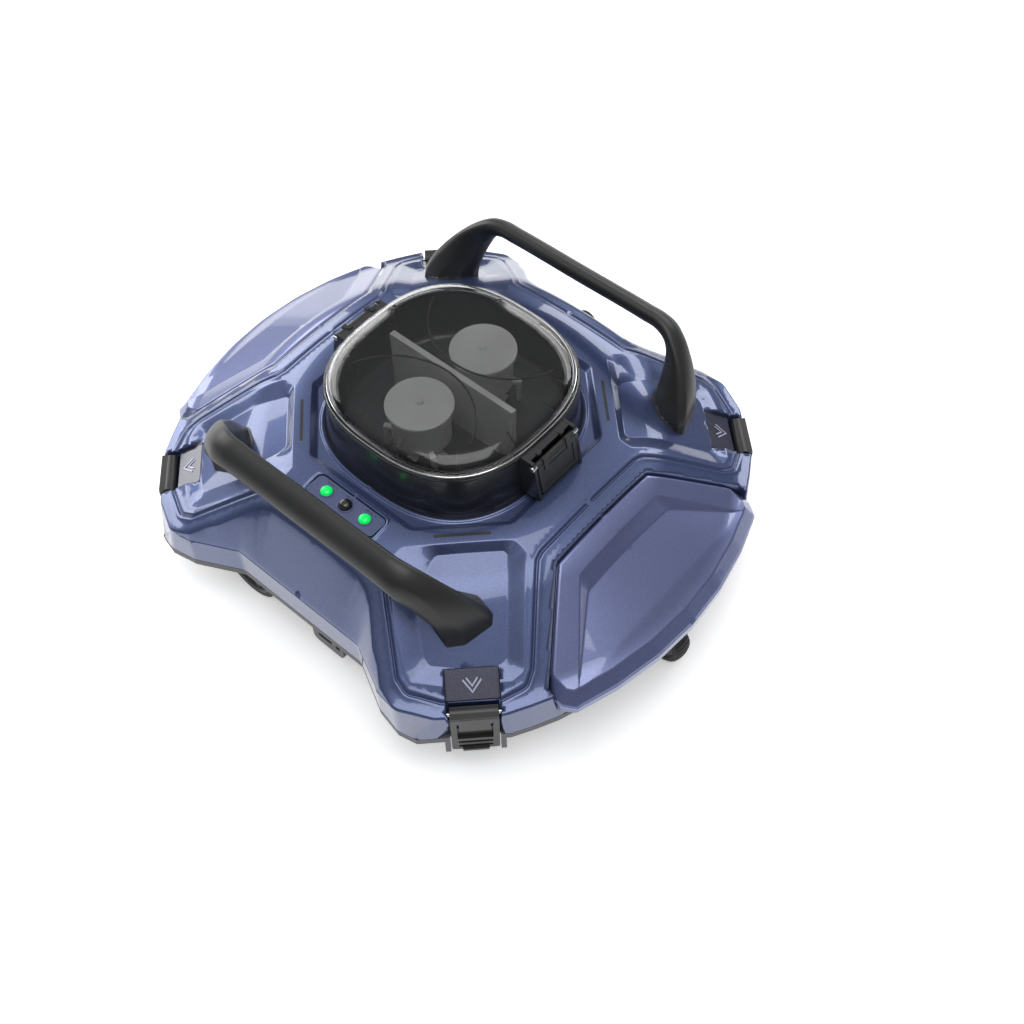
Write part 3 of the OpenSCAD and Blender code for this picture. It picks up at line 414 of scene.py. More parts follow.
PANEL = rounded([(31.8, -118), (31.8, -99.3), (-31.8, -99.3), (-31.8, -118)], 4.5)
POD_BASE = 83.0
SQUARE = 2.6


def round_square(half, n=192, power=SQUARE):
    """Points of |x/half|^power + |y/half|^power = 1, anticlockwise from +X."""
    a = np.linspace(0, 2 * np.pi, n, endpoint=False)
    c, s = np.cos(a), np.sin(a)
    k = (np.abs(c) ** power + np.abs(s) ** power) ** (-1 / power)
    return np.stack([half * k * c, half * k * s], 1)


# %% Height of the cover
BED_U, NOTCH_U, WALL_U = 185.2, 203.9, 213.1
BED_V, CLIP_V = 18.0, 16.8
WAIST_FOOT_Z, WELL_Z, NOTCH_Z = 68.5, 113.4, 57.2
PAD_DEPTH, WING_DROP, EDGE_R = 5, 16, 1.6
TROUGH_R, TROUGH_Y, TROUGH_Z = 9.6, 146.4, 88.6


def bed_height(u):
    """The chevron bed falls from the pad floor to the clip's barrel."""
    return 78.9 - (u - 184.8) * 0.553


LONG_WAIST = np.concatenate([[[-50, 139.5]], WAIST])
LONG_CREASE = np.concatenate([[[206, -50]], crease_edge, [[-50, 163]]])
LONG_GROOVE = np.concatenate([[[-50, 128.3]], GROOVE, [[122.3, -50]]])


def cover_height(p, side):
    """Height over one quarter. side is +1 for the charging side and -1 for the control panel's side."""
    p = np.abs(p)
    x, y = p[:, 0], p[:, 1]
    u, v = (x + y) / math.sqrt(2), (y - x) / math.sqrt(2)
    z = dome(p)
    over = np.concatenate([[[-50, 139.5]], WAIST, [[104, 260], [-50, 260]]])
    in_waist = inside(p, over)
    to_top = distance(p, LONG_WAIST, False)
    to_edge = distance(p, LONG_CREASE, False)
    t = to_top / np.maximum(to_top + to_edge, 1e-6)
    brow = DECK_Z + (DOME_TURN * ramp((np.hypot(x, y) - to_top)[:, None] - DOME_R, DOME_SOFT)).sum(1)
    z = np.where(in_waist, brow * (1 - t) + WAIST_FOOT_Z * t, z) - 0.9 * np.exp(-to_top / 1.2)
    g = distance(p, LONG_GROOVE, False)
    z = z - 1.3 * (1 - smooth((g - 0.35) / 1.1)) + 0.35 * bump_at(g - 2.2, 0.7)
    s_top = signed(p, PAD_TOP)
    s_floor = signed(p, PAD_FLOOR)
    t = np.where(s_top > 0, -s_top / 8,
                 np.where(s_floor < 0, 1 - s_floor / 8, -s_top / np.maximum(s_floor - s_top, 1e-6)))
    z = z - PAD_DEPTH * rise(t, 0.1)
    s = signed(p, WELL)
    z = z + (WELL_Z - z) * rise(-s / 4.5, 0.2) * (s < 2)
    pod = (x ** SQUARE + y ** SQUARE) ** (1 / SQUARE) - POD_BASE
    z = z + 1.5 * bump_at(pod - 3.2, 1.1)
    bed = np.maximum(np.abs(v) - BED_V, BED_U - u)
    z = z + (bed_height(u) - 1.6 - z) * smooth(-bed / 0.4)
    notch = np.maximum(np.abs(v) - CLIP_V, NOTCH_U - u)
    z = z + (NOTCH_Z - z) * smooth(-notch / 0.4)
    lip = np.minimum(to_edge, EDGE_R)
    z = z - np.where(notch > -0.5, EDGE_R - np.sqrt(np.maximum(EDGE_R ** 2 - (EDGE_R - lip) ** 2, 0)), 0)
    s = signed(p, shifted(WING, -0.9))
    z = z - WING_DROP * smooth(-s / 0.5)
    if side < 0:
        s = signed(p * [1, -1], PANEL)
        z = z + 0.7 * bump_at(s - 0.9, 0.75) - 1.5 * smooth(-s / 0.4)
    else:
        trough = TROUGH_Z - np.sqrt(np.maximum(TROUGH_R ** 2 - x ** 2, 0))
        wall = np.maximum(x - TROUGH_R, TROUGH_Y - y)
        z = np.where(wall < 0, np.minimum(z, z + (trough - z) * smooth(-wall / 0.4)), z)
    return z


# %% Cover skin
OFF_AXIS = 0.05


def off_axes(line):
    """The points of a line that lie clear of the quarter's two axes."""
    return line[(line[:, 0] > OFF_AXIS) & (line[:, 1] > OFF_AXIS)]


def keep_in(line, low=-0.01):
    """The longest run of a line that lies in the +X +Y quarter, as an open line."""
    ok = (line[:, 0] >= low) & (line[:, 1] >= low)
    if ok.all():
        return line
    k = int(np.argmax(~ok))
    line, ok = np.roll(line, -k, 0), np.roll(ok, -k)
    return line[ok]


def bands(line, offsets, closed, step=3.0):
    """A line and copies of it at these distances, ready to steer the triangles."""
    base = densify(line, step, closed)
    return [(shifted(base, d, closed), closed) for d in offsets]


def box_line(u0, u1, v, step=3.0):
    """Outline of a rectangle laid along the diagonal."""
    q = np.array([(u0, -v), (u1, -v), (u1, v), (u0, v)])
    xy = np.stack([(q[:, 0] - q[:, 1]), (q[:, 0] + q[:, 1])], 1) / math.sqrt(2)
    return densify(xy, step)


def cover_quarter(side):
    """One quarter of the cover with its outer wall, in the +X +Y quarter."""
    hole = round_square(POD_BASE - 2)
    hole = keep_in(np.roll(hole, 48, 0))
    hole = hole[np.argsort(np.arctan2(hole[:, 1], hole[:, 0]))]
    hole[0, 1], hole[-1, 0] = 0, 0
    low = np.array([(WALL_U + CLIP_V, WALL_U - CLIP_V), (WALL_U - CLIP_V, WALL_U + CLIP_V)]) / math.sqrt(2)
    uv = np.stack([crease_edge.sum(1), crease_edge[:, 1] - crease_edge[:, 0]], 1) / math.sqrt(2)
    face = (np.abs(uv[:, 1]) < CLIP_V) & (uv[:, 0] > 190)
    first, last = np.flatnonzero(face)[[0, -1]]
    cut_in = densify(low, 3, False)

    def at(edge, i, v):
        share = (v - uv[i - 1, 1]) / (uv[i, 1] - uv[i - 1, 1])
        return edge[i - 1] + (edge[i] - edge[i - 1]) * share

    def cut(edge):
        return np.concatenate([edge[:first], at(edge, first, -CLIP_V)[None], cut_in,
                               at(edge, last + 1, CLIP_V)[None], edge[last + 1:]])

    edge, seam = cut(crease_edge), cut(seam_edge)
    x_axis = densify(np.array([hole[0], edge[0]]), 3, False)[1:-1]
    y_axis = densify(np.array([edge[-1], hole[-1]]), 3, False)[1:-1]
    region = np.concatenate([x_axis, edge, y_axis, hole[::-1]])
    wing = densify(shifted(WING, -0.9), 3)
    lines = []
    for d in (0.0, 0.15, 0.35, 0.5, 1.0):
        q = shifted(wing, d)
        q = q[(q[:, 1] > OFF_AXIS) & (q[:, 0] < 203)]
        lines.append((q[inside(q, region)], False))
    lines += bands(PAD_TOP, (-0.8, -0.3, 0.3, 0.9), True)
    lines += bands(PAD_FLOOR, (-0.8, -0.3, 0.3, 0.9), True)
    for d in (-3.2, -2.2, -1.45, -0.7, 0, 0.7, 1.45, 2.2, 3.2):
        lines.append((off_axes(shifted(densify(GROOVE, 3, False), d, False)), False))
    for d in (-1.2, -0.5, 0.0, 0.5, 1.2):
        q = shifted(densify(WAIST, 3, False), d, False)
        q = q[q[:, 0] > OFF_AXIS]
        lines.append((q[inside(q, region)], False))
    for d in (-0.9, 0.0, 0.9, 3.6, 4.5, 5.4):
        lines.append((keep_in(shifted(densify(WELL, 3), d), OFF_AXIS), False))
    for half in (84.2, 85.3, 86.2, 87.3, 88.6):
        lines.append((off_axes(round_square(half)), False))
    for d in (0.0, 0.2, 0.4):
        lines.append((box_line(BED_U + d, 212 - d, BED_V - d), True))
        lines.append((box_line(NOTCH_U + d, WALL_U - 0.2 - d, CLIP_V - d), True))
    for d in (0.25, 0.8, 1.6):
        lines.append((off_axes(shifted(crease_edge, d, False)), False))
    if side < 0:
        for d in (-2.4, -1.6, -0.9, -0.3, 0.0, 0.2, 0.4):
            q = shifted(densify(PANEL * [1, -1], 3)[::-1], d)
            q = q[q[:, 0] > OFF_AXIS]
            q = q[np.argsort(np.arctan2(q[:, 1] - 108.6, q[:, 0]))]
            lines.append((q, False))
    else:
        for d in (0.0, 0.2, 0.4):
            q = np.array([(TROUGH_R - d, 162.5), (TROUGH_R - d, TROUGH_Y + d), (OFF_AXIS, TROUGH_Y + d)])
            lines.append((densify(q, 1.5, False), False))
    lines = [(np.asarray(q), c) for q, c in lines if len(q) > 1]
    height = lambda p: cover_height(p, side)
    top = sheet(region, lines, height)
    rim = np.column_stack([edge, height(edge)])
    wall = skirt(rim, np.column_stack([seam, np.full(len(seam), SEAM_Z)]), 5)
    return joined(top, wall)


left = cover_quarter(1)
right = cover_quarter(-1)
cover = joined(left, mirror(left, -1, 1), mirror(right, 1, -1), mirror(right, -1, -1))
cover_skin = thick_piece("cover_skin", cover, SHEET)
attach(cover_skin, "cover")
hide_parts("top_shell")
print("cover skin triangles", len(cover_skin.data.polygons))

# %% [markdown]
# ## Wing covers
# Each end has a snapped-on cover with a sunken panel that is deepest along its straight inner edge and
# fades out towards the tips, and a chamfer along the curved outer edge. It is the same kind of moulded
# sheet as the main cover.

# %% Wing cover skins
WING_HALF = rounded([(134.5, 0), (216, 0), (213.6, 35), (206.5, 70), (196.2, 101.5), (187.6, 107),
                     (177.6, 107), (134.5, 48)],
                    [0, 0, 60, 60, 5, 4, 4, 5], steps=5)
V_TOP = rounded([(190.5, 93), (149.0, 42.5), (149.0, -42.5), (190.5, -93)], [0, 4, 4, 0], closed=False)
V_FLOOR = rounded([(189.6, 91.5), (157.6, 43.5), (157.6, -43.5), (189.6, -91.5)], [0, 5, 5, 0], closed=False)
WING_OUT = rounded([(216, 0), (213.6, 35), (206.5, 70), (196.2, 101.5), (187.6, 107), (174.0, 107)],
                   [0, 60, 60, 5, 4, 0],
                   closed=False)
WING_IN = rounded([(134.5, 0), (134.5, 48), (177.6, 107)], [0, 5, 0], closed=False)


def wing_height(p):
    """Dome, minus a panel 5.2 deep at x = 158 that fades out at x = 193, minus edge chamfers and rounds."""
    x, y = p[:, 0], np.abs(p[:, 1])
    q = np.stack([x, y], 1)
    z = dome(q)
    beyond = np.concatenate([V_TOP, [[260, -93], [260, 93]]])
    floor = np.concatenate([V_FLOOR, [[260, -91.5], [260, 91.5]]])
    a, b = distance(q, V_TOP, False), distance(q, V_FLOOR, False)
    t = np.where(inside(q, floor), 1 + b / 8,
                 np.where(inside(q, beyond), a / np.maximum(a + b, 1e-6), -a / 8))
    z = z - 5.2 * np.clip((193 - x) / 35, 0, 1) * rise(t, 0.1)
    d = distance(q, WING_OUT, False)
    z = z - 7.4 * ramp(8.2 - d, 0.8) / 8.2 - 1.2 * np.clip(1 - d / 1.2, 0, 1) ** 2
    d = np.clip(distance(q, WING_IN, False), 0, 3.0)
    return z - (3.0 - np.sqrt(np.maximum(9 - (3 - d) ** 2, 0)))


def wing_half():
    """The +Y half of the front wing cover with its wall."""
    region = densify(WING_HALF, 3)
    lines = []
    for line, offsets in ((V_TOP, (-0.8, 0, 0.8)), (V_FLOOR, (-0.8, 0, 0.8)),
                          (WING_OUT, (0.4, 1.2, 7.4, 8.2, 9.0)),
                          (WING_IN, (-0.2, -0.8, -1.8, -3.0))):
        for d in offsets:
            q = shifted(densify(line, 3, False), d, False)
            q = q[q[:, 1] > OFF_AXIS]
            lines.append((q[inside(q, WING_HALF)], False))
    top = sheet(region, [(q, c) for q, c in lines if len(q) > 1], wing_height)
    edge = region[region[:, 1] > 1e-6]
    edge = np.concatenate([[[216, 0]], edge, [[134.5, 0]]])
    rim = np.column_stack([edge, wing_height(edge)])
    low = np.column_stack([edge, np.maximum(53.2, rim[:, 2] - 20)])
    return joined(top, skirt(rim, low, 4))


half = wing_half()
for name, node, sx in (("wing_skin_front", "wing_cover_front", 1), ("wing_skin_rear", "wing_cover_rear", -1)):
    skin = thick_piece(name, joined(mirror(half, sx, 1), mirror(half, sx, -1)), SHEET)
    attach(skin, "cover")
    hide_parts(node)
    print(name, len(skin.data.polygons))

# %% [markdown]
# ## Pump pod
# The pod is a deep drawn cup of gloss black plastic with a rolled rim. Rings of a rounded square, a little
# wider at the foot than at the rim, give its wall.

# %% Pod cup and rim
def stack(profile, n=192):
    """Rings of the rounded square from (half width, height) pairs."""
    return np.stack([np.column_stack([round_square(h, n), np.full(n, z)]) for h, z in profile])


cup = loft("pod_cup", stack([(60, 103.6), (80, 103.6), (82.4, 105), (84.6, 112.0), (84.6, 114.2),
                             (83.6, 115.2), (83.1, 118), (81.6, 132), (80.2, 146), (79.9, 147.4),
                             (81.0, 148.3), (81.2, 150.4), (80.6, 151.4), (79.4, 151.6), (78.4, 151.2),
                             (78.0, 149), (77.8, 112), (76, 108), (73, 106.4), (40, 106.2), (20, 106.2)]),
                             crease=50)
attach(cup, "cover")
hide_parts("pod_housing")

# %% [markdown]
# The lid is a smoky clear moulding about 2 mm thick: a flat flange, a rounded shoulder and an almost flat
# crown. It is a closed shell, so that light bends through it as through the real one.

# %% Smoky lid
LID = [(80.4, 152.0), (80.9, 152.5), (80.9, 154.6), (80.3, 155.2), (79.2, 155.4), (78.9, 156.0),
       (78.5, 157.4), (77.4, 159.2), (75.4, 160.9), (72.6, 162.2), (69.0, 163.2), (64.0, 163.9),
       (56.0, 164.35), (44.0, 164.65), (26.0, 164.85), (8.0, 164.9)]
INNER = [(8.0, 163.1), (26.0, 163.05), (44.0, 162.85), (56.0, 162.5), (63.0, 162.1), (67.6, 161.5),
         (71.2, 160.5), (73.9, 159.2), (75.7, 157.8), (76.6, 156.2), (76.8, 154.0), (77.0, 152.2),
         (77.6, 152.0), (80.4, 152.0)]


def shell_of_lid():
    """Outer rings, centre, inner rings and back to the first ring, as one closed skin."""
    rings = stack(LID + INNER[:-1])
    rows, n = rings.shape[:2]
    crown = len(LID)
    j = np.arange(n)
    faces = [grid(crown, n, True), grid(len(INNER) - 1, n, True) + crown * n]
    k = rows * n
    fan = lambda row, c: np.stack([row * n + j, row * n + (j + 1) % n, np.full(n, c)], 1)
    close = np.stack([(rows - 1) * n + j, (rows - 1) * n + (j + 1) % n, (j + 1) % n, j], 1)
    verts = np.concatenate([rings.reshape(-1, 3), [[0, 0, 164.9], [0, 0, 163.1]]])
    return outward(piece("lid_shell", verts, faces + [fan(crown - 1, k), fan(crown, k + 1), close]), 50)


lid = shell_of_lid()
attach(lid, "cover")
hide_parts("pod_lid")


def bar_path(name, line, width, height, closed=False):
    """Strip of rectangular section carried along a line of points; width lies across, height goes down."""
    line = np.asarray(line, float)
    flat = shifted(line[:, :2], width / 2, closed), shifted(line[:, :2], -width / 2, closed)
    ring = [np.column_stack([flat[0], line[:, 2]]), np.column_stack([flat[1], line[:, 2]]),
            np.column_stack([flat[1], line[:, 2] - height]), np.column_stack([flat[0], line[:, 2] - height])]
    rings = np.stack(ring, 1)
    if closed:
        rings = np.concatenate([rings, rings[:1]])
        return loft(name, rings, (False, False))
    return loft(name, rings)


# %% [markdown]
# Thin black strips lie under the crown as dark lines: one arc round each pump chamber and short strips across
# the shoulder.

# %% Lid ribs
ribs = []
for side in (1, -1):
    a = np.radians(np.linspace(200, 340, 60)) * side
    ribs.append(bar_path("arc", np.column_stack([58 * np.cos(a), side * 62 + 58 * np.sin(a),
                                                 np.full(60, 162.6)]), 0.9, 1.3))
shoulder = np.array([(66.0, 161.7), (70.0, 160.7), (72.6, 159.6), (74.4, 158.2), (75.5, 156.4),
                     (76.0, 154.0)])
for k in (8, 17, 40, 56, 72, 88, 104, 113, 136, 152, 168, 184):
    ring = np.stack([round_square(h)[k] for h, _ in shoulder])
    ribs.append(bar_path("rib", np.column_stack([ring, shoulder[:, 1]]), 0.8, 1.2))
lid_ribs = merged("lid_ribs", ribs)
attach(lid_ribs, "cover")

# %% [markdown]
# Two sealed pump motors stand in the pod. Under the lid each one shows a crowned grey cap with a small boss.

# %% Motor caps
def turned(name, profile, centre, n=96, axis="z", crease=35.0):
    """Solid turned from (radius, height) pairs about an axis through centre."""
    a = np.linspace(0, 2 * np.pi, n, endpoint=False)
    prof = np.asarray(profile, float)
    ring = np.stack([prof[:, :1] * np.cos(a), prof[:, :1] * np.sin(a), np.repeat(prof[:, 1:], n, 1)], -1)
    if axis == "y":
        ring = ring[..., [0, 2, 1]]
    return loft(name, ring + np.asarray(centre, float), crease=crease)


for name, sy in (("motor_cap_left", 1), ("motor_cap_right", -1)):
    cap = turned(name, [(21.5, 150.2), (23.75, 150.4), (23.9, 152.6), (23.2, 153.6), (20, 153.9),
                        (14, 154.2), (8, 154.4), (3.4, 154.4), (2.6, 154.9), (2.3, 155.8), (1.2, 156.1),
                        (0.4, 156.1)], (0, sy * 32.5, 0))
    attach(cap, "cover")

# %% [markdown]
# ## Outlets
# A water outlet stands at each end of the pod: two cheeks, a roof, a sill and a flap that hangs from a
# steel pin.

# %% Flat plates with holes
def plate(name, outline, holes, low, high, place):
    """Slab between two heights with holes; place turns (n, 3) local points into the object's frame."""
    loops = [np.asarray(outline, float)] + [np.asarray(h, float) for h in holes]
    flat = np.concatenate(loops)
    starts = np.cumsum([0] + [len(q) for q in loops])
    edges = np.concatenate([np.stack([np.arange(len(q)), (np.arange(len(q)) + 1) % len(q)], 1) + s
                            for q, s in zip(loops, starts)])
    out = delaunay_2d_cdt([Vector(q) for q in flat.tolist()], edges.tolist(), [], 0, 1e-6)
    xy, tri = np.array([list(v) for v in out[0]]), np.array(out[2])
    mid = xy[tri].mean(1)
    keep = inside(mid, loops[0])
    for q in loops[1:]:
        keep &= ~inside(mid, q)
    tri = tri[keep]
    k = len(xy)
    tri = np.where((winding(xy, tri) < 0)[:, None], tri[:, ::-1], tri)
    rim = open_edges(tri)
    verts = np.concatenate([np.column_stack([xy, np.full(k, high)]), np.column_stack([xy, np.full(k, low)])])
    walls = np.stack([rim[:, 1], rim[:, 0], rim[:, 0] + k, rim[:, 1] + k], 1)
    return outward(piece(name, place(verts), [np.concatenate([tri, tri[:, ::-1] + k]), walls]))


def brick(name, x0, x1, y0, y1, z0, z1, place=lambda v: v, round_by=0.0):
    """Block with limits in local millimetres; its upright edges can be rounded."""
    outline = [(x0, y0), (x1, y0), (x1, y1), (x0, y1)]
    return plate(name, rounded(outline, round_by, steps=3) if round_by else outline, [], z0, z1, place)


def upright(v):
    """Local (x, z, y) drawing plane to the object's frame: for shapes cut out in the XZ plane."""
    return v[:, [0, 2, 1]]


# %% Outlet ducts
def duct_parts(sx):
    """Cheeks, roof, sill and back frame of one outlet."""
    m = lambda v: v * np.array([sx, 1, 1])
    side = rounded([(74, 117.4), (98.4, 117.4), (91.9, 150.2), (90.6, 151.7), (74, 151.7)],
                   [0, 0.8, 1.2, 1.2, 0], steps=3)
    parts = [plate("duct", side, [], y, y + 2.5, lambda v: m(upright(v))) for y in (-22.3, 19.8)]
    parts.append(brick("duct", 76, 87.2, -20, 20, 149.2, 151.5, m))
    parts.append(brick("duct", 79, 97.6, -20, 20, 117.6, 121.4, m))
    parts.append(brick("duct", 80, 82, -20, 20, 121, 149.5, m))
    for y in (-13.5, 9.5):
        parts.append(brick("duct", 85.5, 88.6, y, y + 4, 149.8, 152.4, m, 0.6))
    return parts


for name, node, sx in (("duct_front", "outlet_duct_front", 1), ("duct_rear", "outlet_duct_rear", -1)):
    duct = bevel(merged(name, duct_parts(sx)), 0.35)
    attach(duct, "cover")
    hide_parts(node)


# %% Outlet flaps
FLAP_PIN_X, FLAP_PIN_Z = 90.85, 147.0


def flap_parts(sx):
    """Plate with a raised border, a hinge barrel and two knuckles, leaning as the duct's mouth does."""
    tilt = math.atan(0.19)

    def lean(v):
        down, out = v[:, 0], v[:, 2]
        return np.stack([sx * (FLAP_PIN_X + down * math.sin(tilt) + out * math.cos(tilt)), v[:, 1],
                         FLAP_PIN_Z - down * math.cos(tilt) + out * math.sin(tilt)], 1)

    outer = rounded([(1, -18.9), (24.8, -18.9), (24.8, 18.9), (1, 18.9)], 1.2, steps=3)
    inner = rounded([(4.6, -15.6), (21.8, -15.6), (21.8, 15.6), (4.6, 15.6)], 1.0, steps=3)
    parts = [plate("flap", outer, [], 0.1, 1.5, lean), plate("flap", outer, [inner], 1.4, 2.3, lean)]
    parts.append(brick("flap", 5.6, 7.4, -9, 9, 1.4, 2.4, lean, 0.5))
    for y in (-13.5, 9.5):
        parts.append(brick("flap", -3.2, 6.5, y, y + 4, 0.2, 3.1, lean, 0.8))
    barrel = turned("flap", [(1.55, -18.9), (2.15, -18.7), (2.15, 18.7), (1.55, 18.9)],
                    (sx * FLAP_PIN_X, 0, FLAP_PIN_Z), 32, "y")
    return parts + [barrel]


for name, sx in (("outlet_flap_front", 1), ("outlet_flap_rear", -1)):
    flap = bevel(merged(name.replace("outlet", "water"), flap_parts(sx)), 0.25)
    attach(flap, name)
    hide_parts(name)

# %% Hinge pins with bright heads
pins = []
for sx in (1, -1):
    for sy in (1, -1):
        pins.append(turned("pin", [(0.3, 0), (1.9, 0.1), (2.2, 0.6), (2.2, 1.0), (1.5, 1.2), (1.5, 4.0)],
                           (sx * FLAP_PIN_X, 0, FLAP_PIN_Z), 32, "y"))
        mesh = pins[-1].data
        mesh.transform(Matrix.Translation((0, -23.2 * MM, 0)))
        if sy > 0:
            mesh.transform(Matrix.Diagonal((1, -1, 1, 1)))
            mesh.flip_normals()
pin_heads = merged("outlet_pin_heads", pins)
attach(pin_heads, "cover")

# %% [markdown]
# ## Handles
# Each handle is one bent satin black moulding. Its section is an oval lying at 45 degrees along the grip,
# turns into a ridged lens in the legs and ends in a flat-sided foot on the pad.

# %% Handle as a section carried along a path
FOOT = np.array([(-18.3, 15.2), (1.1, 18.4), (9.5, 9.2), (15.3, -10.7), (11.6, -15.8), (-2, -17), (-16, -9),
                 (-21, 4)])
foot_shape = densify(rounded(FOOT, [2, 1.5, 6, 2, 2, 6, 6, 4], steps=6), 0.6)
foot_v = (foot_shape[:, 1] - foot_shape[:, 0]) / math.sqrt(2)
foot_u = (foot_shape[:, 1] + foot_shape[:, 0]) / math.sqrt(2)
foot_angle = np.arctan2(foot_u, foot_v)
order = np.argsort(foot_angle)
N_AROUND = 96
theta = np.linspace(0, 2 * np.pi, N_AROUND, endpoint=False)
foot_radius = np.interp(theta, foot_angle[order], np.hypot(foot_u, foot_v)[order], period=2 * np.pi)

STATIONS = np.array([
    # x, y, z, wide axis, narrow axis, share of the foot's shape,
    # turn of the section from the grip's to the foot's
    (0, 140.5, 146.0, 11.2, 6.4, 0.0, 0.0),
    (62, 140.5, 146.0, 11.2, 6.4, 0.0, 0.0),
    (74, 140.4, 145.7, 11.4, 6.5, 0.0, 0.05),
    (83, 139.0, 143.4, 12.2, 7.0, 0.0, 0.2),
    (91, 135.6, 137.4, 13.4, 7.8, 0.05, 0.45),
    (98, 130.6, 129.0, 14.6, 8.8, 0.18, 0.68),
    (104, 125.4, 119.5, 15.8, 10.0, 0.42, 0.85),
    (108.5, 120.2, 110.0, 17.0, 11.2, 0.75, 0.96),
    (110.6, 116.6, 102.5, 18.0, 12.0, 0.95, 1.0),
    (111.0, 115.2, 96.0, 18.6, 12.6, 1.0, 1.0),
    (111.0, 115.0, 86.0, 19.0, 13.0, 1.0, 1.0),
])


def spline(knots, n):
    """Smooth curve through the rows of knots, by the Catmull-Rom formula in arc length."""
    length = np.concatenate([[0], np.cumsum(np.linalg.norm(np.diff(knots[:, :3], axis=0), axis=1))])
    s = np.linspace(0, length[-1], n)
    i = np.clip(np.searchsorted(length, s, "right") - 1, 0, len(knots) - 2)
    h = (length[i + 1] - length[i])[:, None]
    t = ((s - length[i])[:, None]) / h
    slope = np.gradient(knots, length, axis=0)
    a, b, ma, mb = knots[i], knots[i + 1], slope[i] * h, slope[i + 1] * h
    start, end = 2 * t**3 - 3 * t**2 + 1, 3 * t**2 - 2 * t**3
    return start * a + (t**3 - 2 * t**2 + t) * ma + end * b + (t**3 - t**2) * mb


def handle_half():
    """Rings of one half handle from the middle of the grip to the foot; the last rings are cut to the pad."""
    path = spline(STATIONS, 90)
    centre, wide, narrow = path[:, :3], path[:, 3:4], path[:, 4:5]
    share, turn = np.clip(path[:, 5:6], 0, 1), np.clip(path[:, 6:7], 0, 1)
    root = math.sqrt(0.5)
    e1a, e2a = np.array([0, root, -root]), np.array([0, root, root])
    e1b, e2b = np.array([-root, root, 0]), np.array([root, root, 0])
    e1 = e1a * (1 - turn) + e1b * turn
    e2 = e2a * (1 - turn) + e2b * turn
    e1 /= np.linalg.norm(e1, axis=1, keepdims=True)
    e2 -= (e1 * e2).sum(1, keepdims=True) * e1
    e2 /= np.linalg.norm(e2, axis=1, keepdims=True)
    power = 2.0 - 0.45 * np.sin(np.pi * np.clip(turn, 0, 1)) ** 2
    c, s = np.cos(theta), np.sin(theta)
    lens = (np.abs(c / wide) ** power + np.abs(s / narrow) ** power) ** (-1 / power)
    radius = lens * (1 - share) + foot_radius * share
    ring = centre[:, None] + radius[..., None] * (c[None, :, None] * e1[:, None]
                                                  + s[None, :, None] * e2[:, None])
    floor = dome(ring[-1, :, :2]) - 5.0 + 0.25
    low = ring[..., 2] < floor + 0.01
    ring[..., 2] = np.where(low, floor, ring[..., 2])
    ring[-1, :, 2] = floor
    return ring


half_rings = handle_half()
mirrored = half_rings[:0:-1].copy()
mirrored[..., 0] *= -1
for name, sy in (("handle_left", 1), ("handle_right", -1)):
    rings = np.concatenate([mirrored, half_rings]) * np.array([1, sy, 1])
    grip = loft(name.replace("handle", "carry_handle"), rings, crease=40)
    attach(grip, "cover")
    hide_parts(name)
    print(grip.name, len(grip.data.polygons))

# %% [markdown]
# ## Clips
# Four hinged clips hold the cover on the tray. Each has a barrel on a steel pin, a flat cap and a plate
# with a sprung tongue between two slits, a window under it and two narrow slots below.

# %% Clips
CLIP_PIN_U, CLIP_PIN_Z = 210.58, 64


def at_corner(angle):
    """Local (outwards, along, up) to the object's frame for the clip at this angle."""
    a = math.radians(angle)
    turn = np.array([[math.cos(a), math.sin(a), 0], [-math.sin(a), math.cos(a), 0], [0, 0, 1]])
    return lambda v: np.asarray(v, float) @ turn


def clip_parts(place):
    """Plate drawn in (along, up) and stood up at the face; cap, barrel and thumb lip added to it."""
    stand = lambda v: place(np.column_stack([v[:, 2], v[:, 0], v[:, 1]]))
    outer = rounded([(-16, 26.6), (0, 25.6), (16, 26.6), (16, 66.8), (-16, 66.8)], [1.6, 40, 1.6, 0.6, 0.6],
                    steps=4)
    window = [(-11.8, 41), (11.8, 41), (11.8, 63.8), (10.4, 63.8), (10.4, 51.5), (-10.4, 51.5),
              (-10.4, 63.8), (-11.8, 63.8)]
    slots = [rounded([(-11.4, z), (11.4, z), (11.4, z + 2.6), (-11.4, z + 2.6)], 0.6, steps=2)
             for z in (29.6, 35.2)]
    parts = [plate("clip", outer, [window] + slots, 213.6, 217.1, stand)]
    parts.append(brick("clip", 207.6, 216.9, -16, 16, 64.2, 68.3, place, 0.5))
    parts.append(brick("clip", 213.2, 214.2, -12.4, 12.4, 40, 51, place))
    parts.append(brick("clip", 213.6, 219.0, -9, 9, 26.7, 28.9, place, 1.0))
    barrel = turned("clip", [(1.6, -16), (4.5, -16), (4.8, -15.6), (4.8, 15.6), (4.5, 16), (1.6, 16)],
                    (0, 0, 0), 40, "y")
    co = np.empty(3 * len(barrel.data.vertices))
    barrel.data.vertices.foreach_get("co", co)
    co = co.reshape(-1, 3) / MM + [CLIP_PIN_U, 0, CLIP_PIN_Z]
    barrel.data.vertices.foreach_set("co", (place(co) * MM).ravel())
    return parts + [barrel]


CLIPS = (("clip_front_left", 45), ("clip_rear_left", 135), ("clip_rear_right", 225),
         ("clip_front_right", 315))
for name, angle in CLIPS:
    clip = bevel(merged(name.replace("clip_", "latch_"), clip_parts(at_corner(angle))), 0.4)
    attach(clip, name)
    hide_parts(name)


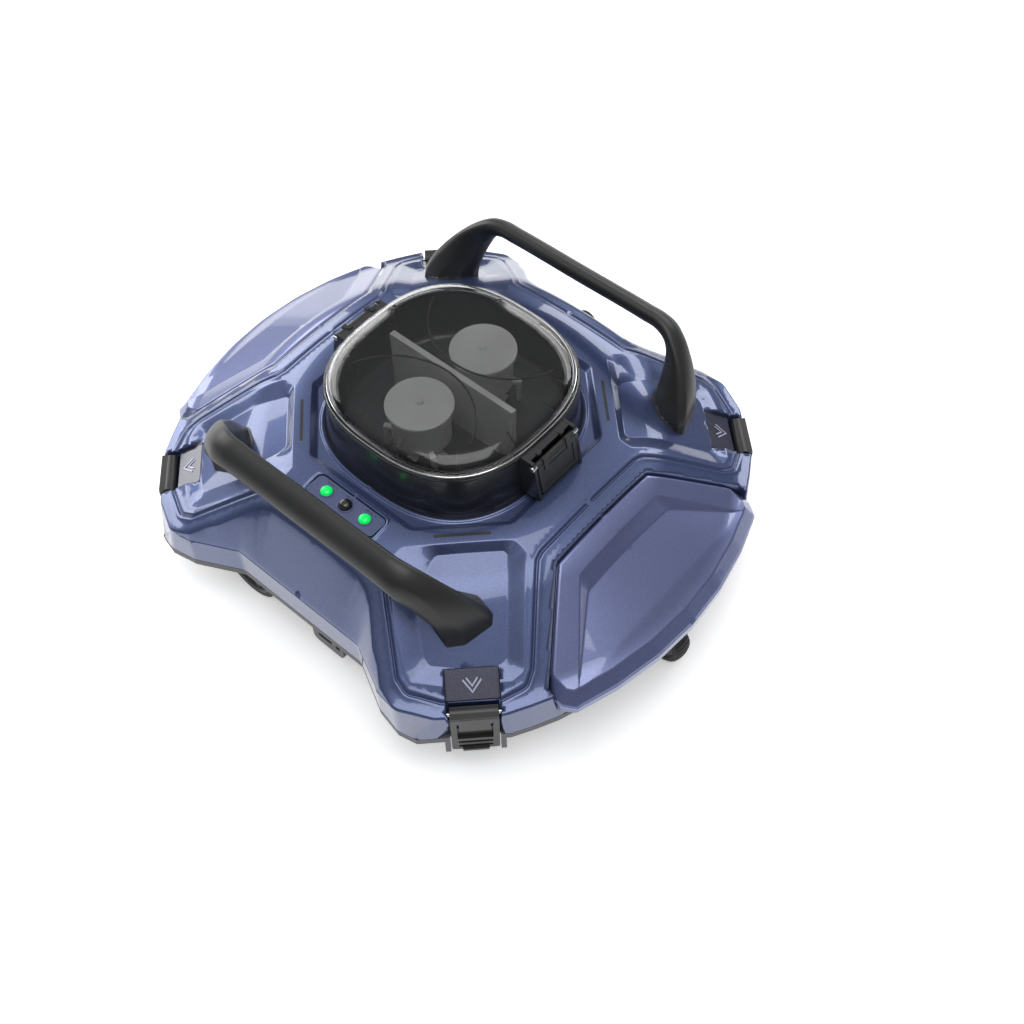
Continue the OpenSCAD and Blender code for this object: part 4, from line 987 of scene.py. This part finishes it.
# %% Chevron beds
def bed_parts(place):
    """Tinted plate from the pad floor to the barrel, with a low strip along both sides."""
    slope = lambda v: place(np.column_stack([v[:, 0], v[:, 1], bed_height(v[:, 0]) + v[:, 2]]))
    low, high, half = BED_U + 0.3, NOTCH_U - 0.6, 17.6
    outline = densify(rounded([(low, -half), (high, -half), (high, half), (low, half)], 0.6, steps=2), 3)
    parts = [plate("bed", outline, [], -1.3, 0.0, slope)]
    for sv in (-1, 1):
        w0, w1 = sorted((sv * (half - 1), sv * half))
        strip = [(low, w0), (high, w0), (high, w1), (low, w1)]
        parts.append(plate("bed", densify(np.array(strip), 3), [], -0.2, 0.5, slope))
    return parts


beds = bevel(merged("chevron_beds", [p for _, a in CLIPS for p in bed_parts(at_corner(a))]), 0.25, 1)
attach(beds, "cover")
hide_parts("clip_beds")

# %% Slots, as dark plates of painted shade
def slot_shade_parts(place):
    """A narrow dark plate across the diagonal, laid on the height of the cover: painted shade in place of a
    slot's recess.
    """
    outline = densify(rounded([(106.2, -19), (108.4, -19), (108.4, 19), (106.2, 19)], 0.6, steps=2), 3)

    def lie(v):
        at = np.stack([v[:, 0] - v[:, 1], v[:, 0] + v[:, 1]], 1) / math.sqrt(2)
        return place(np.column_stack([v[:, 0], v[:, 1], cover_height(at, -1) + v[:, 2]]))

    return [plate("slot", outline, [], -1.0, 0.08, lie)]


# The cover's slots are these dark plates lying on its surface: painted shade in place of recesses.
slot_shade_plates = merged("slot_shade_plates", [p for _, a in CLIPS for p in slot_shade_parts(at_corner(a))])
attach(slot_shade_plates, "cover")

# %% Chevrons
def chevron_parts(place):
    """Two raised chevrons, one inside the other, that point outwards."""
    slope = lambda v: place(np.column_stack([v[:, 0], v[:, 1], bed_height(v[:, 0]) + v[:, 2]]))
    parts = []
    for tip, half_w, arm in ((200.0, 6.3, 7.4), (196.4, 4.0, 4.9)):
        v = [(tip, 0), (tip - arm, half_w), (tip - arm - 0.9, half_w - 0.5), (tip - 1.4, 0),
             (tip - arm - 0.9, 0.5 - half_w), (tip - arm, -half_w)]
        parts.append(plate("chevron", v, [], -0.2, 0.55, slope))
    return parts


chevrons = merged("bed_chevrons", [p for _, a in CLIPS for p in chevron_parts(at_corner(a))])
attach(chevrons, "cover")

# %% [markdown]
# ## Control panel
# A blue-grey plate with two green lamps and a black push button. Small raised dashes stand in for its labels.

# %% Control panel, lamps and button
LAMP_X, PANEL_Y = 18, -108.6
plate_edge = rounded([(31.0, -117.2), (31.0, -100.1), (-31.0, -100.1), (-31.0, -117.2)], 3.8)
circle = lambda x, r: np.stack([x + r * np.cos(theta[::2]), PANEL_Y + r * np.sin(theta[::2])], 1)
keep = lambda v: v
face = [plate("panel", plate_edge[::-1], [circle(-LAMP_X, 4.25), circle(0, 5.0), circle(LAMP_X, 4.25)],
              116.7, 117.6, keep)]
for x in (-LAMP_X, LAMP_X):
    face.append(plate("panel", circle(x, 5.1), [circle(x, 4.25)], 117.5, 118.0, keep))
face.append(plate("panel", circle(0, 6.0), [circle(0, 5.0)], 117.5, 118.0, keep))
panel = bevel(merged("panel_face", face), 0.2)
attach(panel, "cover")
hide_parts("control_panel")
marks = []
for x in (-LAMP_X, 0, LAMP_X):
    for k, w in ((0, 3.4), (1, 2.2), (2, 1.2)):
        x0 = x - 5.0 + k * 4.2
        marks.append(brick("mark", x0, x0 + w, -102.6, -101.9, 117.5, 117.75, keep))
label_marks = merged("panel_marks", marks)
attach(label_marks, "cover")

lamps = []
for x in (-LAMP_X, LAMP_X):
    lamps.append(turned("lamp", [(4.15, 108), (4.15, 117.9), (3.9, 118.7), (3.2, 119.4), (2.1, 119.9),
                                 (0.8, 120.1), (0.2, 120.1)],
                        (x, PANEL_Y, 0), 48))
lamp = merged("status_lamps", lamps)
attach(lamp, "cover")
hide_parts("status_lights")

button = turned("push_button", [(4.55, 109.2), (4.6, 118.6), (4.3, 119.6), (3.5, 120.5), (2.2, 121.1),
                                (0.8, 121.3), (0.2, 121.3)],
                (0, PANEL_Y, 0), 64)
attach(button, "power_button")
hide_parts("power_button")

# %% [markdown]
# ## Wheels
# The side tyres are black rubber with a fine block tread; the steering wheel is crowned and lightly ribbed.
# The tread is a ripple in the radius of a turned ring, which keeps each tyre one closed skin.

# %% Tyres and hubs
WHEEL_X, WHEEL_Z = -67, 26
STEER_X, STEER_Z = 196, 18
SPOKES = 5


def tyre(name, radius, inner, y0, y1, centre, lugs, depth, crown, rows=13, n=360):
    """Turned ring whose outer radius is crowned and cut by slanted grooves between lugs."""
    a = np.linspace(0, 2 * np.pi, n, endpoint=False)
    t = np.linspace(0, 1, rows)
    y = y0 + (y1 - y0) * t
    across = 2 * t - 1
    body = radius - crown * across ** 2 - 1.2 * np.clip((np.abs(across) - 0.86) / 0.14, 0, 1) ** 2
    phase = lugs * a[None] + 1.4 * across[:, None] * np.sign(across[:, None] + 1e-9)
    cut = smooth((np.cos(phase) - 0.45) / 0.3) * np.clip((1.0 - np.abs(across[:, None])) / 0.12, 0, 1)
    outer = body[:, None] - depth * cut
    ring = lambda r, yy: np.stack([centre[0] + r * np.cos(a), np.full(n, yy), centre[1] + r * np.sin(a)], 1)
    rings = [ring(inner, y0 + 0.3), ring(inner + 1.2, y0)] + [ring(r, yy) for r, yy in zip(outer, y)]
    rings += [ring(inner + 1.2, y1), ring(inner, y1 - 0.3), ring(inner, y0 + 0.3)]
    return loft(name, rings, (False, False), crease=40)


for name, sy in (("left", 1), ("right", -1)):
    lo, hi = sorted((sy * 146.0, sy * 156.3))
    rubber = tyre("side_wheel_tyre_" + name, 25.9, 21, lo, hi, (WHEEL_X, WHEEL_Z), 36, 1.1, 0.5)
    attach(rubber, "side_wheel_" + name)
    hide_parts("side_tyre_" + name)
    hub = [turned("hub", [(3.1, 146.1), (20.9, 146.1), (20.9, 156.2), (19.6, 156.3), (18.8, 155.6),
                          (18.0, 152.4), (8.4, 151.8), (7.6, 155.2), (6.8, 156.0),
                          (3.1, 156.0)], (WHEEL_X, 0, WHEEL_Z), 96, "y")]
    for a in np.linspace(0, 2 * math.pi, SPOKES, endpoint=False):
        spoke = brick("hub", 7, 18.6, -1.6, 1.6, 151.6, 154.6, keep)
        turn = Matrix.Rotation(a, 4, "Y") @ Matrix(((1, 0, 0, 0), (0, 0, 1, 0), (0, -1, 0, 0), (0, 0, 0, 1)))
        spoke.data.transform(Matrix.Translation((WHEEL_X * MM, 0, WHEEL_Z * MM)) @ turn)
        hub.append(spoke)
    wheel = merged("side_wheel_hub_" + name, hub)
    if sy < 0:
        wheel.data.transform(Matrix.Diagonal((1, -1, 1, 1)))
        outward(wheel)
    bevel(wheel, 0.3)
    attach(wheel, "side_wheel_" + name)
    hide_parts("side_hub_" + name)

front_tyre = tyre("front_wheel_tyre", 18, 12, -8, 8, (STEER_X, STEER_Z), 30, 0.5, 1.8, rows=21)
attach(front_tyre, "steering_wheel")
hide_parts("steering_tyre")
front_hub = turned("front_wheel_hub", [(2.6, -7.8), (8, -7.8), (8.6, -6.4), (11.4, -6.4), (11.95, -7.4),
                                       (11.95, 7.4), (11.4, 6.4), (8.6, 6.4), (8, 7.8),
                                       (2.6, 7.8)], (STEER_X, 0, STEER_Z), 64, "y")
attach(front_hub, "steering_wheel")
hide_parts("steering_hub")

# %% [markdown]
# ## Finishes
# Shared effects are node groups: metal flakes, moulded grain, worn edges, and dust and painted shade in the
# corners.
# Each group only gives colours, masks and normals; the materials decide how shiny and how dark a piece is.

# %% Effect groups
def group(name, ins, outs):
    """Empty shader group with these sockets: name, type, default."""
    tree = bpy.data.node_groups.new(name, "ShaderNodeTree")
    for label, kind, value in ins:
        socket = tree.interface.new_socket(label, in_out="INPUT", socket_type=kind)
        socket.default_value = value
    for label, kind in outs:
        tree.interface.new_socket(label, in_out="OUTPUT", socket_type=kind)
    return tree, tree.nodes.new("NodeGroupInput"), tree.nodes.new("NodeGroupOutput")


def node(tree, kind, links=(), **values):
    """Adds a node; values set sockets, or settings in lower case, and links are (socket, source)."""
    n = tree.nodes.new(kind)
    for key, value in values.items():
        if hasattr(n, key):
            setattr(n, key, value)
        else:
            n.inputs[key.replace("_", " ")].default_value = value
    for target, source in links:
        tree.links.new(source, n.inputs[target])
    return n


def flake_group():
    """Tiny tilted flakes and a slow cloud of colour, as in metallic lacquer."""
    t, gi, go = group("metal_flakes", [("Base", "NodeSocketColor", (0.1, 0.1, 0.3, 1)),
                                       ("Sparkle", "NodeSocketFloat", 0.3)],
                      [("Color", "NodeSocketColor"), ("Rough", "NodeSocketFloat"),
                       ("Flake Height", "NodeSocketFloat")])
    co = node(t, "ShaderNodeTexCoord")
    cells = node(t, "ShaderNodeTexVoronoi", [("Vector", co.outputs["Object"])], Scale=2600.0)
    cloud = node(t, "ShaderNodeTexNoise", [("Vector", co.outputs["Object"])], Scale=14.0, Detail=2.0)
    bright = node(t, "ShaderNodeMapRange", [("Value", cells.outputs["Color"])], From_Min=0.55, To_Max=1.0)
    amount = node(t, "ShaderNodeMath", [(0, bright.outputs[0]), (1, gi.outputs["Sparkle"])],
                  operation="MULTIPLY")
    mix = node(t, "ShaderNodeMix", [("Factor", amount.outputs[0]), (6, gi.outputs["Base"])], data_type="RGBA")
    mix.inputs[7].default_value = (0.30, 0.34, 0.56, 1)
    tone = node(t, "ShaderNodeMapRange", [("Value", cloud.outputs["Fac"])], To_Min=0.93, To_Max=1.07)
    shade = node(t, "ShaderNodeVectorMath", [(0, mix.outputs[2]), ("Scale", tone.outputs[0])],
                 operation="SCALE")
    rough = node(t, "ShaderNodeMapRange", [("Value", cloud.outputs["Fac"])], To_Min=0.3, To_Max=0.4)
    t.links.new(shade.outputs[0], go.inputs["Color"])
    t.links.new(rough.outputs[0], go.inputs["Rough"])
    t.links.new(cells.outputs["Color"], go.inputs["Flake Height"])
    return t


def grain_group():
    """Fine spark-eroded grain: a height for the bump and small changes of roughness and tone."""
    t, gi, go = group("moulded_grain", [("Base", "NodeSocketColor", (0.05, 0.05, 0.05, 1)),
                                        ("Scale", "NodeSocketFloat", 900.0),
                                        ("Rough", "NodeSocketFloat", 0.5)],
                      [("Color", "NodeSocketColor"), ("Rough", "NodeSocketFloat"),
                       ("Height", "NodeSocketFloat")])
    co = node(t, "ShaderNodeTexCoord")
    fine = node(t, "ShaderNodeTexNoise", [("Vector", co.outputs["Object"]), ("Scale", gi.outputs["Scale"])],
                Detail=3.0)
    wide = node(t, "ShaderNodeTexNoise", [("Vector", co.outputs["Object"])], Scale=22.0, Detail=3.0)
    tone = node(t, "ShaderNodeMapRange", [("Value", wide.outputs["Fac"])], To_Min=0.88, To_Max=1.14)
    shade = node(t, "ShaderNodeVectorMath", [(0, gi.outputs["Base"]), ("Scale", tone.outputs[0])],
                 operation="SCALE")
    spread = node(t, "ShaderNodeMapRange", [("Value", wide.outputs["Fac"])], To_Min=-0.06, To_Max=0.06)
    rough = node(t, "ShaderNodeMath", [(0, gi.outputs["Rough"]), (1, spread.outputs[0])], operation="ADD")
    t.links.new(shade.outputs[0], go.inputs["Color"])
    t.links.new(rough.outputs[0], go.inputs["Rough"])
    t.links.new(fine.outputs["Fac"], go.inputs["Height"])
    return t


def wear_and_shade_group():
    """Masks of exposed edges, for wear, and of sheltered corners, for dust and painted shade, broken up by
    noise.
    """
    t, gi, go = group("edges_dust_and_shade", [("Radius", "NodeSocketFloat", 0.002)],
                      [("Edge", "NodeSocketFloat"), ("Dust And Shade", "NodeSocketFloat")])
    co = node(t, "ShaderNodeTexCoord")
    geo = node(t, "ShaderNodeNewGeometry")
    noise = node(t, "ShaderNodeTexNoise", [("Vector", co.outputs["Object"])], Scale=180.0, Detail=4.0)
    edge = node(t, "ShaderNodeMapRange", [("Value", geo.outputs["Pointiness"])], From_Min=0.53,
                From_Max=0.62)
    ao = node(t, "ShaderNodeAmbientOcclusion", [("Distance", gi.outputs["Radius"])], samples=4)
    # The corner mask comes from ambient occlusion; where it darkens a colour, that is painted shade.
    shelter = node(t, "ShaderNodeMapRange", [("Value", ao.outputs["AO"])], From_Min=0.75, From_Max=0.3)
    a = node(t, "ShaderNodeMath", [(0, edge.outputs[0]), (1, noise.outputs["Fac"])], operation="MULTIPLY")
    b = node(t, "ShaderNodeMath", [(0, shelter.outputs[0]), (1, noise.outputs["Fac"])], operation="MULTIPLY")
    t.links.new(a.outputs[0], go.inputs["Edge"])
    t.links.new(b.outputs[0], go.inputs["Dust And Shade"])
    return t


FLAKES, GRAIN, WEAR_AND_SHADE = flake_group(), grain_group(), wear_and_shade_group()


# %% Materials
def blank(name):
    """New material with its tree, its Principled node and a way to add a shared group."""
    mat = bpy.data.materials.new(name)
    mat.use_nodes = True
    tree = mat.node_tree
    shader = tree.nodes["Principled BSDF"]

    def use(shared):
        n = tree.nodes.new("ShaderNodeGroup")
        n.node_tree = shared
        return n

    return mat, tree, shader, use


def paint(name, colour, sparkle, rough_coat=0.035, metallic=0.62):
    """Metallic lacquer: coloured flakes under a clear coat, and painted shade that darkens the grooves."""
    mat, tree, shader, use = blank(name)
    flakes, wear_and_shade = use(FLAKES), use(WEAR_AND_SHADE)
    flakes.inputs["Base"].default_value = (*colour, 1)
    flakes.inputs["Sparkle"].default_value = sparkle
    wear_and_shade.inputs["Radius"].default_value = 0.004
    # Sheltered grooves are darkened towards a quarter of the colour: painted shade.
    dim = node(tree, "ShaderNodeMath", [(0, wear_and_shade.outputs["Dust And Shade"])], operation="MULTIPLY")
    dim.inputs[1].default_value = 0.5
    mix = node(tree, "ShaderNodeMix", [("Factor", dim.outputs[0]), (6, flakes.outputs["Color"])],
               data_type="RGBA")
    mix.inputs[7].default_value = (colour[0] * 0.25, colour[1] * 0.25, colour[2] * 0.3, 1)
    bump = node(tree, "ShaderNodeBump", [("Height", flakes.outputs["Flake Height"])], Strength=0.06,
                Distance=0.0001)
    tree.links.new(mix.outputs[2], shader.inputs["Base Color"])
    tree.links.new(flakes.outputs["Rough"], shader.inputs["Roughness"])
    tree.links.new(bump.outputs["Normal"], shader.inputs["Normal"])
    shader.inputs["Metallic"].default_value = metallic
    shader.inputs["Coat Weight"].default_value = 0.9
    shader.inputs["Coat Roughness"].default_value = rough_coat
    return mat


def plastic(name, colour, rough, grain=900.0, bump_strength=0.12, coat=0.0, edge=0.25, dust_and_shade=0.3,
            metallic=0.0):
    """Moulded plastic or rubber with grain, lighter worn edges, and a tone in sheltered corners that lightens
    dark colours as dust does and darkens light colours as painted shade.
    """
    mat, tree, shader, use = blank(name)
    fine, wear_and_shade = use(GRAIN), use(WEAR_AND_SHADE)
    fine.inputs["Base"].default_value = (*colour, 1)
    fine.inputs["Scale"].default_value = grain
    fine.inputs["Rough"].default_value = rough
    e = node(tree, "ShaderNodeMath", [(0, wear_and_shade.outputs["Edge"])], operation="MULTIPLY")
    e.inputs[1].default_value = edge
    # In sheltered corners the colour moves to 0.6 of itself plus 0.03: dust on dark plastics, painted shade
    # on light ones.
    d = node(tree, "ShaderNodeMath", [(0, wear_and_shade.outputs["Dust And Shade"])], operation="MULTIPLY")
    d.inputs[1].default_value = dust_and_shade
    light = node(tree, "ShaderNodeMix", [("Factor", e.outputs[0]), (6, fine.outputs["Color"])],
                 data_type="RGBA")
    light.inputs[7].default_value = (*[min(1, c * 2.2 + 0.05) for c in colour], 1)
    dusted_and_shaded = node(tree, "ShaderNodeMix", [("Factor", d.outputs[0]), (6, light.outputs[2])], data_type="RGBA")
    dusted_and_shaded.inputs[7].default_value = (*[c * 0.6 + 0.03 for c in colour], 1)
    bump = node(tree, "ShaderNodeBump", [("Height", fine.outputs["Height"])], Strength=bump_strength,
                Distance=0.0002)
    tree.links.new(dusted_and_shaded.outputs[2], shader.inputs["Base Color"])
    tree.links.new(fine.outputs["Rough"], shader.inputs["Roughness"])
    tree.links.new(bump.outputs["Normal"], shader.inputs["Normal"])
    shader.inputs["Coat Weight"].default_value = coat
    shader.inputs["Coat Roughness"].default_value = 0.06
    shader.inputs["Metallic"].default_value = metallic
    return mat


def smoky():
    """Clear grey plastic: plain transmission, tinted, with a slightly uneven polish."""
    mat, tree, shader, use = blank("smoky_clear")
    fine = use(GRAIN)
    fine.inputs["Base"].default_value = (0.62, 0.62, 0.62, 1)
    fine.inputs["Scale"].default_value = 60.0
    fine.inputs["Rough"].default_value = 0.06
    tree.links.new(fine.outputs["Color"], shader.inputs["Base Color"])
    tree.links.new(fine.outputs["Rough"], shader.inputs["Roughness"])
    shader.inputs["Transmission Weight"].default_value = 1.0
    shader.inputs["IOR"].default_value = 1.4
    return mat


def lens():
    """Lit green lamp with a moulded prism pattern."""
    mat, tree, shader, _ = blank("green_lamp")
    co = node(tree, "ShaderNodeTexCoord")
    cells = node(tree, "ShaderNodeTexVoronoi", [("Vector", co.outputs["Object"])], Scale=900.0)
    tone = node(tree, "ShaderNodeMapRange", [("Value", cells.outputs["Distance"])], To_Min=0.75, To_Max=1.1)
    glow = node(tree, "ShaderNodeVectorMath", [("Scale", tone.outputs[0])], operation="SCALE")
    glow.inputs[0].default_value = (0.0, 0.82, 0.12)
    tree.links.new(glow.outputs[0], shader.inputs["Base Color"])
    tree.links.new(glow.outputs[0], shader.inputs["Emission Color"])
    shader.inputs["Emission Strength"].default_value = 0.55
    shader.inputs["Roughness"].default_value = 0.15
    return mat


def brushed():
    """Stainless steel with a fine grain bump."""
    mat, tree, shader, use = blank("stainless")
    fine = use(GRAIN)
    fine.inputs["Base"].default_value = (0.68, 0.68, 0.67, 1)
    fine.inputs["Scale"].default_value = 1500.0
    fine.inputs["Rough"].default_value = 0.28
    bump = node(tree, "ShaderNodeBump", [("Height", fine.outputs["Height"])], Strength=0.1, Distance=0.0001)
    tree.links.new(fine.outputs["Color"], shader.inputs["Base Color"])
    tree.links.new(fine.outputs["Rough"], shader.inputs["Roughness"])
    tree.links.new(bump.outputs["Normal"], shader.inputs["Normal"])
    shader.inputs["Metallic"].default_value = 1.0
    return mat


def board():
    """Green circuit board with a pattern of copper pads."""
    mat, tree, shader, _ = blank("circuit")
    co = node(tree, "ShaderNodeTexCoord")
    tiles = node(tree, "ShaderNodeTexBrick", [("Vector", co.outputs["Object"])], Scale=160.0)
    tiles.inputs["Color1"].default_value = (0.02, 0.16, 0.06, 1)
    tiles.inputs["Color2"].default_value = (0.03, 0.2, 0.08, 1)
    tiles.inputs["Mortar"].default_value = (0.45, 0.33, 0.1, 1)
    tree.links.new(tiles.outputs["Color"], shader.inputs["Base Color"])
    shader.inputs["Roughness"].default_value = 0.35
    return mat


def mesh_cloth():
    """Woven filter screen: threads with half clear squares between them."""
    mat, tree, shader, _ = blank("filter_weave")
    co = node(tree, "ShaderNodeTexCoord")
    weave = node(tree, "ShaderNodeTexBrick", [("Vector", co.outputs["Object"])], Scale=420.0, offset=0.0)
    weave.inputs["Color1"].default_value = (0, 0, 0, 1)
    weave.inputs["Color2"].default_value = (0, 0, 0, 1)
    weave.inputs["Mortar"].default_value = (1, 1, 1, 1)
    weave.inputs["Mortar Size"].default_value = 0.03
    weave.inputs["Row Height"].default_value = 0.5
    tone = node(tree, "ShaderNodeMapRange", [("Value", weave.outputs["Color"])], To_Min=0.35)
    tree.links.new(tone.outputs[0], shader.inputs["Alpha"])
    shader.inputs["Base Color"].default_value = (0.55, 0.55, 0.53, 1)
    shader.inputs["Roughness"].default_value = 0.6
    return mat


FINISH = {
    "navy_paint": paint("navy_paint", (0.062, 0.088, 0.205), 0.2),
    "wing_paint": paint("wing_paint", (0.14, 0.165, 0.33), 0.3),
    "panel_paint": paint("panel_paint", (0.075, 0.095, 0.21), 0.15, 0.06, 0.4),
    "chevron_light": paint("chevron_light", (0.4, 0.42, 0.55), 0.1, 0.1, 0.2),
    "bed_tint": paint("bed_tint", (0.03, 0.03, 0.055), 0.15, 0.04, 0.4),
    "gloss_black": plastic("gloss_black", (0.011, 0.011, 0.012), 0.3, 500, 0.05, 0.45),
    "handle_black": plastic("satin_black", (0.018, 0.018, 0.0175), 0.42, 1400, 0.2),
    "clip_black": plastic("clip_black", (0.026, 0.026, 0.026), 0.36, 1200, 0.12),
    "smoky_lid": smoky(),
    # The parts under the lid get a grey far lighter than their own mid grey: painted light that makes up for
    # the light the smoky lid holds back.
    "grey_plastic": plastic("moulded_grey_painted_light", (0.62, 0.62, 0.61), 0.45),
    "white_plastic": plastic("moulded_white", (0.7, 0.7, 0.68), 0.4),
    "flap_rubber": plastic("flap_rubber", (0.02, 0.02, 0.021), 0.48, 800, 0.2),
    "seal_rubber": plastic("seal_rubber", (0.02, 0.02, 0.02), 0.7, 700, 0.3),
    "tyre_rubber": plastic("tyre_rubber", (0.014, 0.014, 0.014), 0.62, 900, 0.35),
    "base_grey": plastic("base_grey", (0.085, 0.085, 0.09), 0.5, 1100, 0.25),
    "green_lens": lens(),
    "battery_case": plastic("battery_case", (0.16, 0.18, 0.22), 0.5, 600, 0.2),
    "circuit_board": board(),
    "foam": plastic("foam", (0.72, 0.71, 0.66), 0.9, 350, 0.8),
    "steel": brushed(),
    "filter_weave": mesh_cloth(),
}
MADE = {
    "cover_skin": "navy_paint", "wing_skin_front": "wing_paint", "wing_skin_rear": "wing_paint",
    "pod_cup": "gloss_black",
    "lid_shell": "smoky_lid", "lid_ribs": "handle_black", "motor_cap_left": "grey_plastic",
    "motor_cap_right": "grey_plastic",
    "duct_front": "gloss_black", "duct_rear": "gloss_black", "water_flap_front": "flap_rubber",
    "water_flap_rear": "flap_rubber",
    "outlet_pin_heads": "steel", "carry_handle_left": "handle_black", "carry_handle_right": "handle_black",
    "latch_front_left": "clip_black", "latch_rear_left": "clip_black", "latch_rear_right": "clip_black",
    "latch_front_right": "clip_black", "chevron_beds": "bed_tint", "bed_chevrons": "chevron_light",
    "slot_shade_plates": "gloss_black", "panel_face": "panel_paint", "panel_marks": "handle_black",
    "status_lamps": "green_lens", "push_button": "gloss_black", "side_wheel_tyre_left": "tyre_rubber",
    "side_wheel_tyre_right": "tyre_rubber", "side_wheel_hub_left": "base_grey",
    "side_wheel_hub_right": "base_grey",
    "front_wheel_tyre": "tyre_rubber", "front_wheel_hub": "base_grey",
}
for name, slot in MADE.items():
    mesh = bpy.data.objects[name].data
    mesh.materials.clear()
    mesh.materials.append(FINISH[slot])

# %% Finishes of the CAD pieces that are shown as they are
KEPT = {
    "wing_floats": "foam", "pod_gasket": "seal_rubber", "pod_partition": "grey_plastic",
    "outlet_pins": "steel",
    "motor_left": "grey_plastic", "motor_right": "grey_plastic", "impeller_left": "white_plastic",
    "impeller_right": "white_plastic", "battery_pack": "battery_case", "control_board": "circuit_board",
    "clip_pins": "steel",
    "charge_socket": "gloss_black", "charge_plug": "flap_rubber", "bottom_shell": "base_grey",
    "debris_tray": "base_grey", "tray_wall": "base_grey", "flap_posts": "base_grey",
    "clip_guards": "base_grey",
    "shell_seal": "seal_rubber",
    "intake_plate": "handle_black", "intake_screws": "steel", "filter_frame": "base_grey",
    "filter_screen": "filter_weave",
    "intake_flap_front": "flap_rubber", "intake_flap_rear": "flap_rubber", "intake_pins": "steel",
    "side_guides": "base_grey",
    "side_axles": "steel", "steering_fork": "handle_black", "steering_axle": "steel",
}
for name, slot in KEPT.items():
    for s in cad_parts[name].material_slots:
        s.material = FINISH[slot]

# %% [markdown]
# ## Studio
# A pale floor, a room that is brightest overhead and three soft boxes give the long highlights on the
# lacquer.

# %% Floor, room and lights
floor_mesh = bpy.data.meshes.new("floor")
floor_mesh.from_pydata([(-4, -4, 0), (4, -4, 0), (4, 4, 0), (-4, 4, 0)], [], [(0, 1, 2, 3)])
floor = bpy.data.objects.new("floor", floor_mesh)
bpy.context.scene.collection.objects.link(floor)
floor_mat = bpy.data.materials.new("floor_white")
floor_mat.use_nodes = True
floor_shader = floor_mat.node_tree.nodes["Principled BSDF"]
floor_shader.inputs["Base Color"].default_value = (0.9, 0.9, 0.9, 1)
floor_shader.inputs["Emission Color"].default_value = (1, 1, 1, 1)
floor_shader.inputs["Emission Strength"].default_value = 0.42
floor_shader.inputs["Roughness"].default_value = 0.6
floor_mesh.materials.append(floor_mat)

world = bpy.data.worlds.new("room")
bpy.context.scene.world = world
world.use_nodes = True
sky = world.node_tree
sky_co = node(sky, "ShaderNodeTexCoord")
sky_z = node(sky, "ShaderNodeSeparateXYZ", [("Vector", sky_co.outputs["Generated"])])
sky_ramp = node(sky, "ShaderNodeValToRGB", [("Fac", sky_z.outputs["Z"])])
sky_ramp.color_ramp.elements[0].color = (0.10, 0.105, 0.12, 1)
sky_ramp.color_ramp.elements[0].position = 0.3
sky_ramp.color_ramp.elements[1].color = (0.66, 0.67, 0.69, 1)
sky_ramp.color_ramp.elements[1].position = 0.85
seen = node(sky, "ShaderNodeLightPath")
backdrop = node(sky, "ShaderNodeMix", [("Factor", seen.outputs["Is Camera Ray"]),
                                       (6, sky_ramp.outputs["Color"])], data_type="RGBA")
backdrop.inputs[7].default_value = (0.9, 0.9, 0.9, 1)
sky.links.new(backdrop.outputs[2], sky.nodes["Background"].inputs["Color"])
sky.nodes["Background"].inputs["Strength"].default_value = 0.85


def soft_box(name, place, aim, wide, tall, watts):
    """Rectangular lamp at a place, turned towards a point."""
    data = bpy.data.lights.new(name, "AREA")
    data.shape = "RECTANGLE"
    data.size, data.size_y, data.energy = wide, tall, watts
    lamp_obj = bpy.data.objects.new(name, data)
    lamp_obj.location = place
    lamp_obj.rotation_euler = (Vector(aim) - Vector(place)).to_track_quat("-Z", "Y").to_euler()
    bpy.context.scene.collection.objects.link(lamp_obj)
    return lamp_obj


soft_box("left_box", (-1.7, 0.1, 0.85), (0, 0, 0.08), 1.7, 0.8, 20)
soft_box("back_box", (-0.2, 1.7, 1.1), (0, 0, 0.08), 1.6, 0.5, 12)
soft_box("top_box", (0.3, -0.2, 1.9), (0, 0, 0.05), 1.3, 1.3, 15)

# %% [markdown]
# The camera looks from the front right, from well above. Its place is given in units of 0.93 mm, and its
# height is counted from a level of 127 such units.

# %% Camera
AZ, EL, ROLL = (math.radians(v) for v in (41.419, 54.313, -0.914))
UNIT = 0.00093
EYE_BASE = 127
FOCAL, PICTURE, SENSOR = 1317.76, 1024, 36
back = np.array([math.sin(AZ) * math.cos(EL), -math.cos(AZ) * math.cos(EL), math.sin(EL)])
right_axis = np.array([math.cos(AZ), math.sin(AZ), 0])
up_axis = np.cross(back, right_axis)
axes = np.array([math.cos(ROLL) * right_axis + math.sin(ROLL) * up_axis,
                 -math.sin(ROLL) * right_axis + math.cos(ROLL) * up_axis, back])
eye = -axes.T @ np.array([-43.958, 77.603, -1000.0])
camera_data = bpy.data.cameras.new("view")
camera_data.sensor_width = SENSOR
camera_data.lens = SENSOR * FOCAL / PICTURE
camera_data.clip_start, camera_data.clip_end = 0.05, 20
camera = bpy.data.objects.new("view", camera_data)
pose = Matrix(axes.T.tolist()).to_4x4()
pose.translation = Vector((eye + [0, 0, EYE_BASE]) * UNIT)
camera.matrix_world = pose
bpy.context.scene.collection.objects.link(camera)
bpy.context.scene.camera = camera
bpy.context.scene.view_settings.view_transform = "Standard"
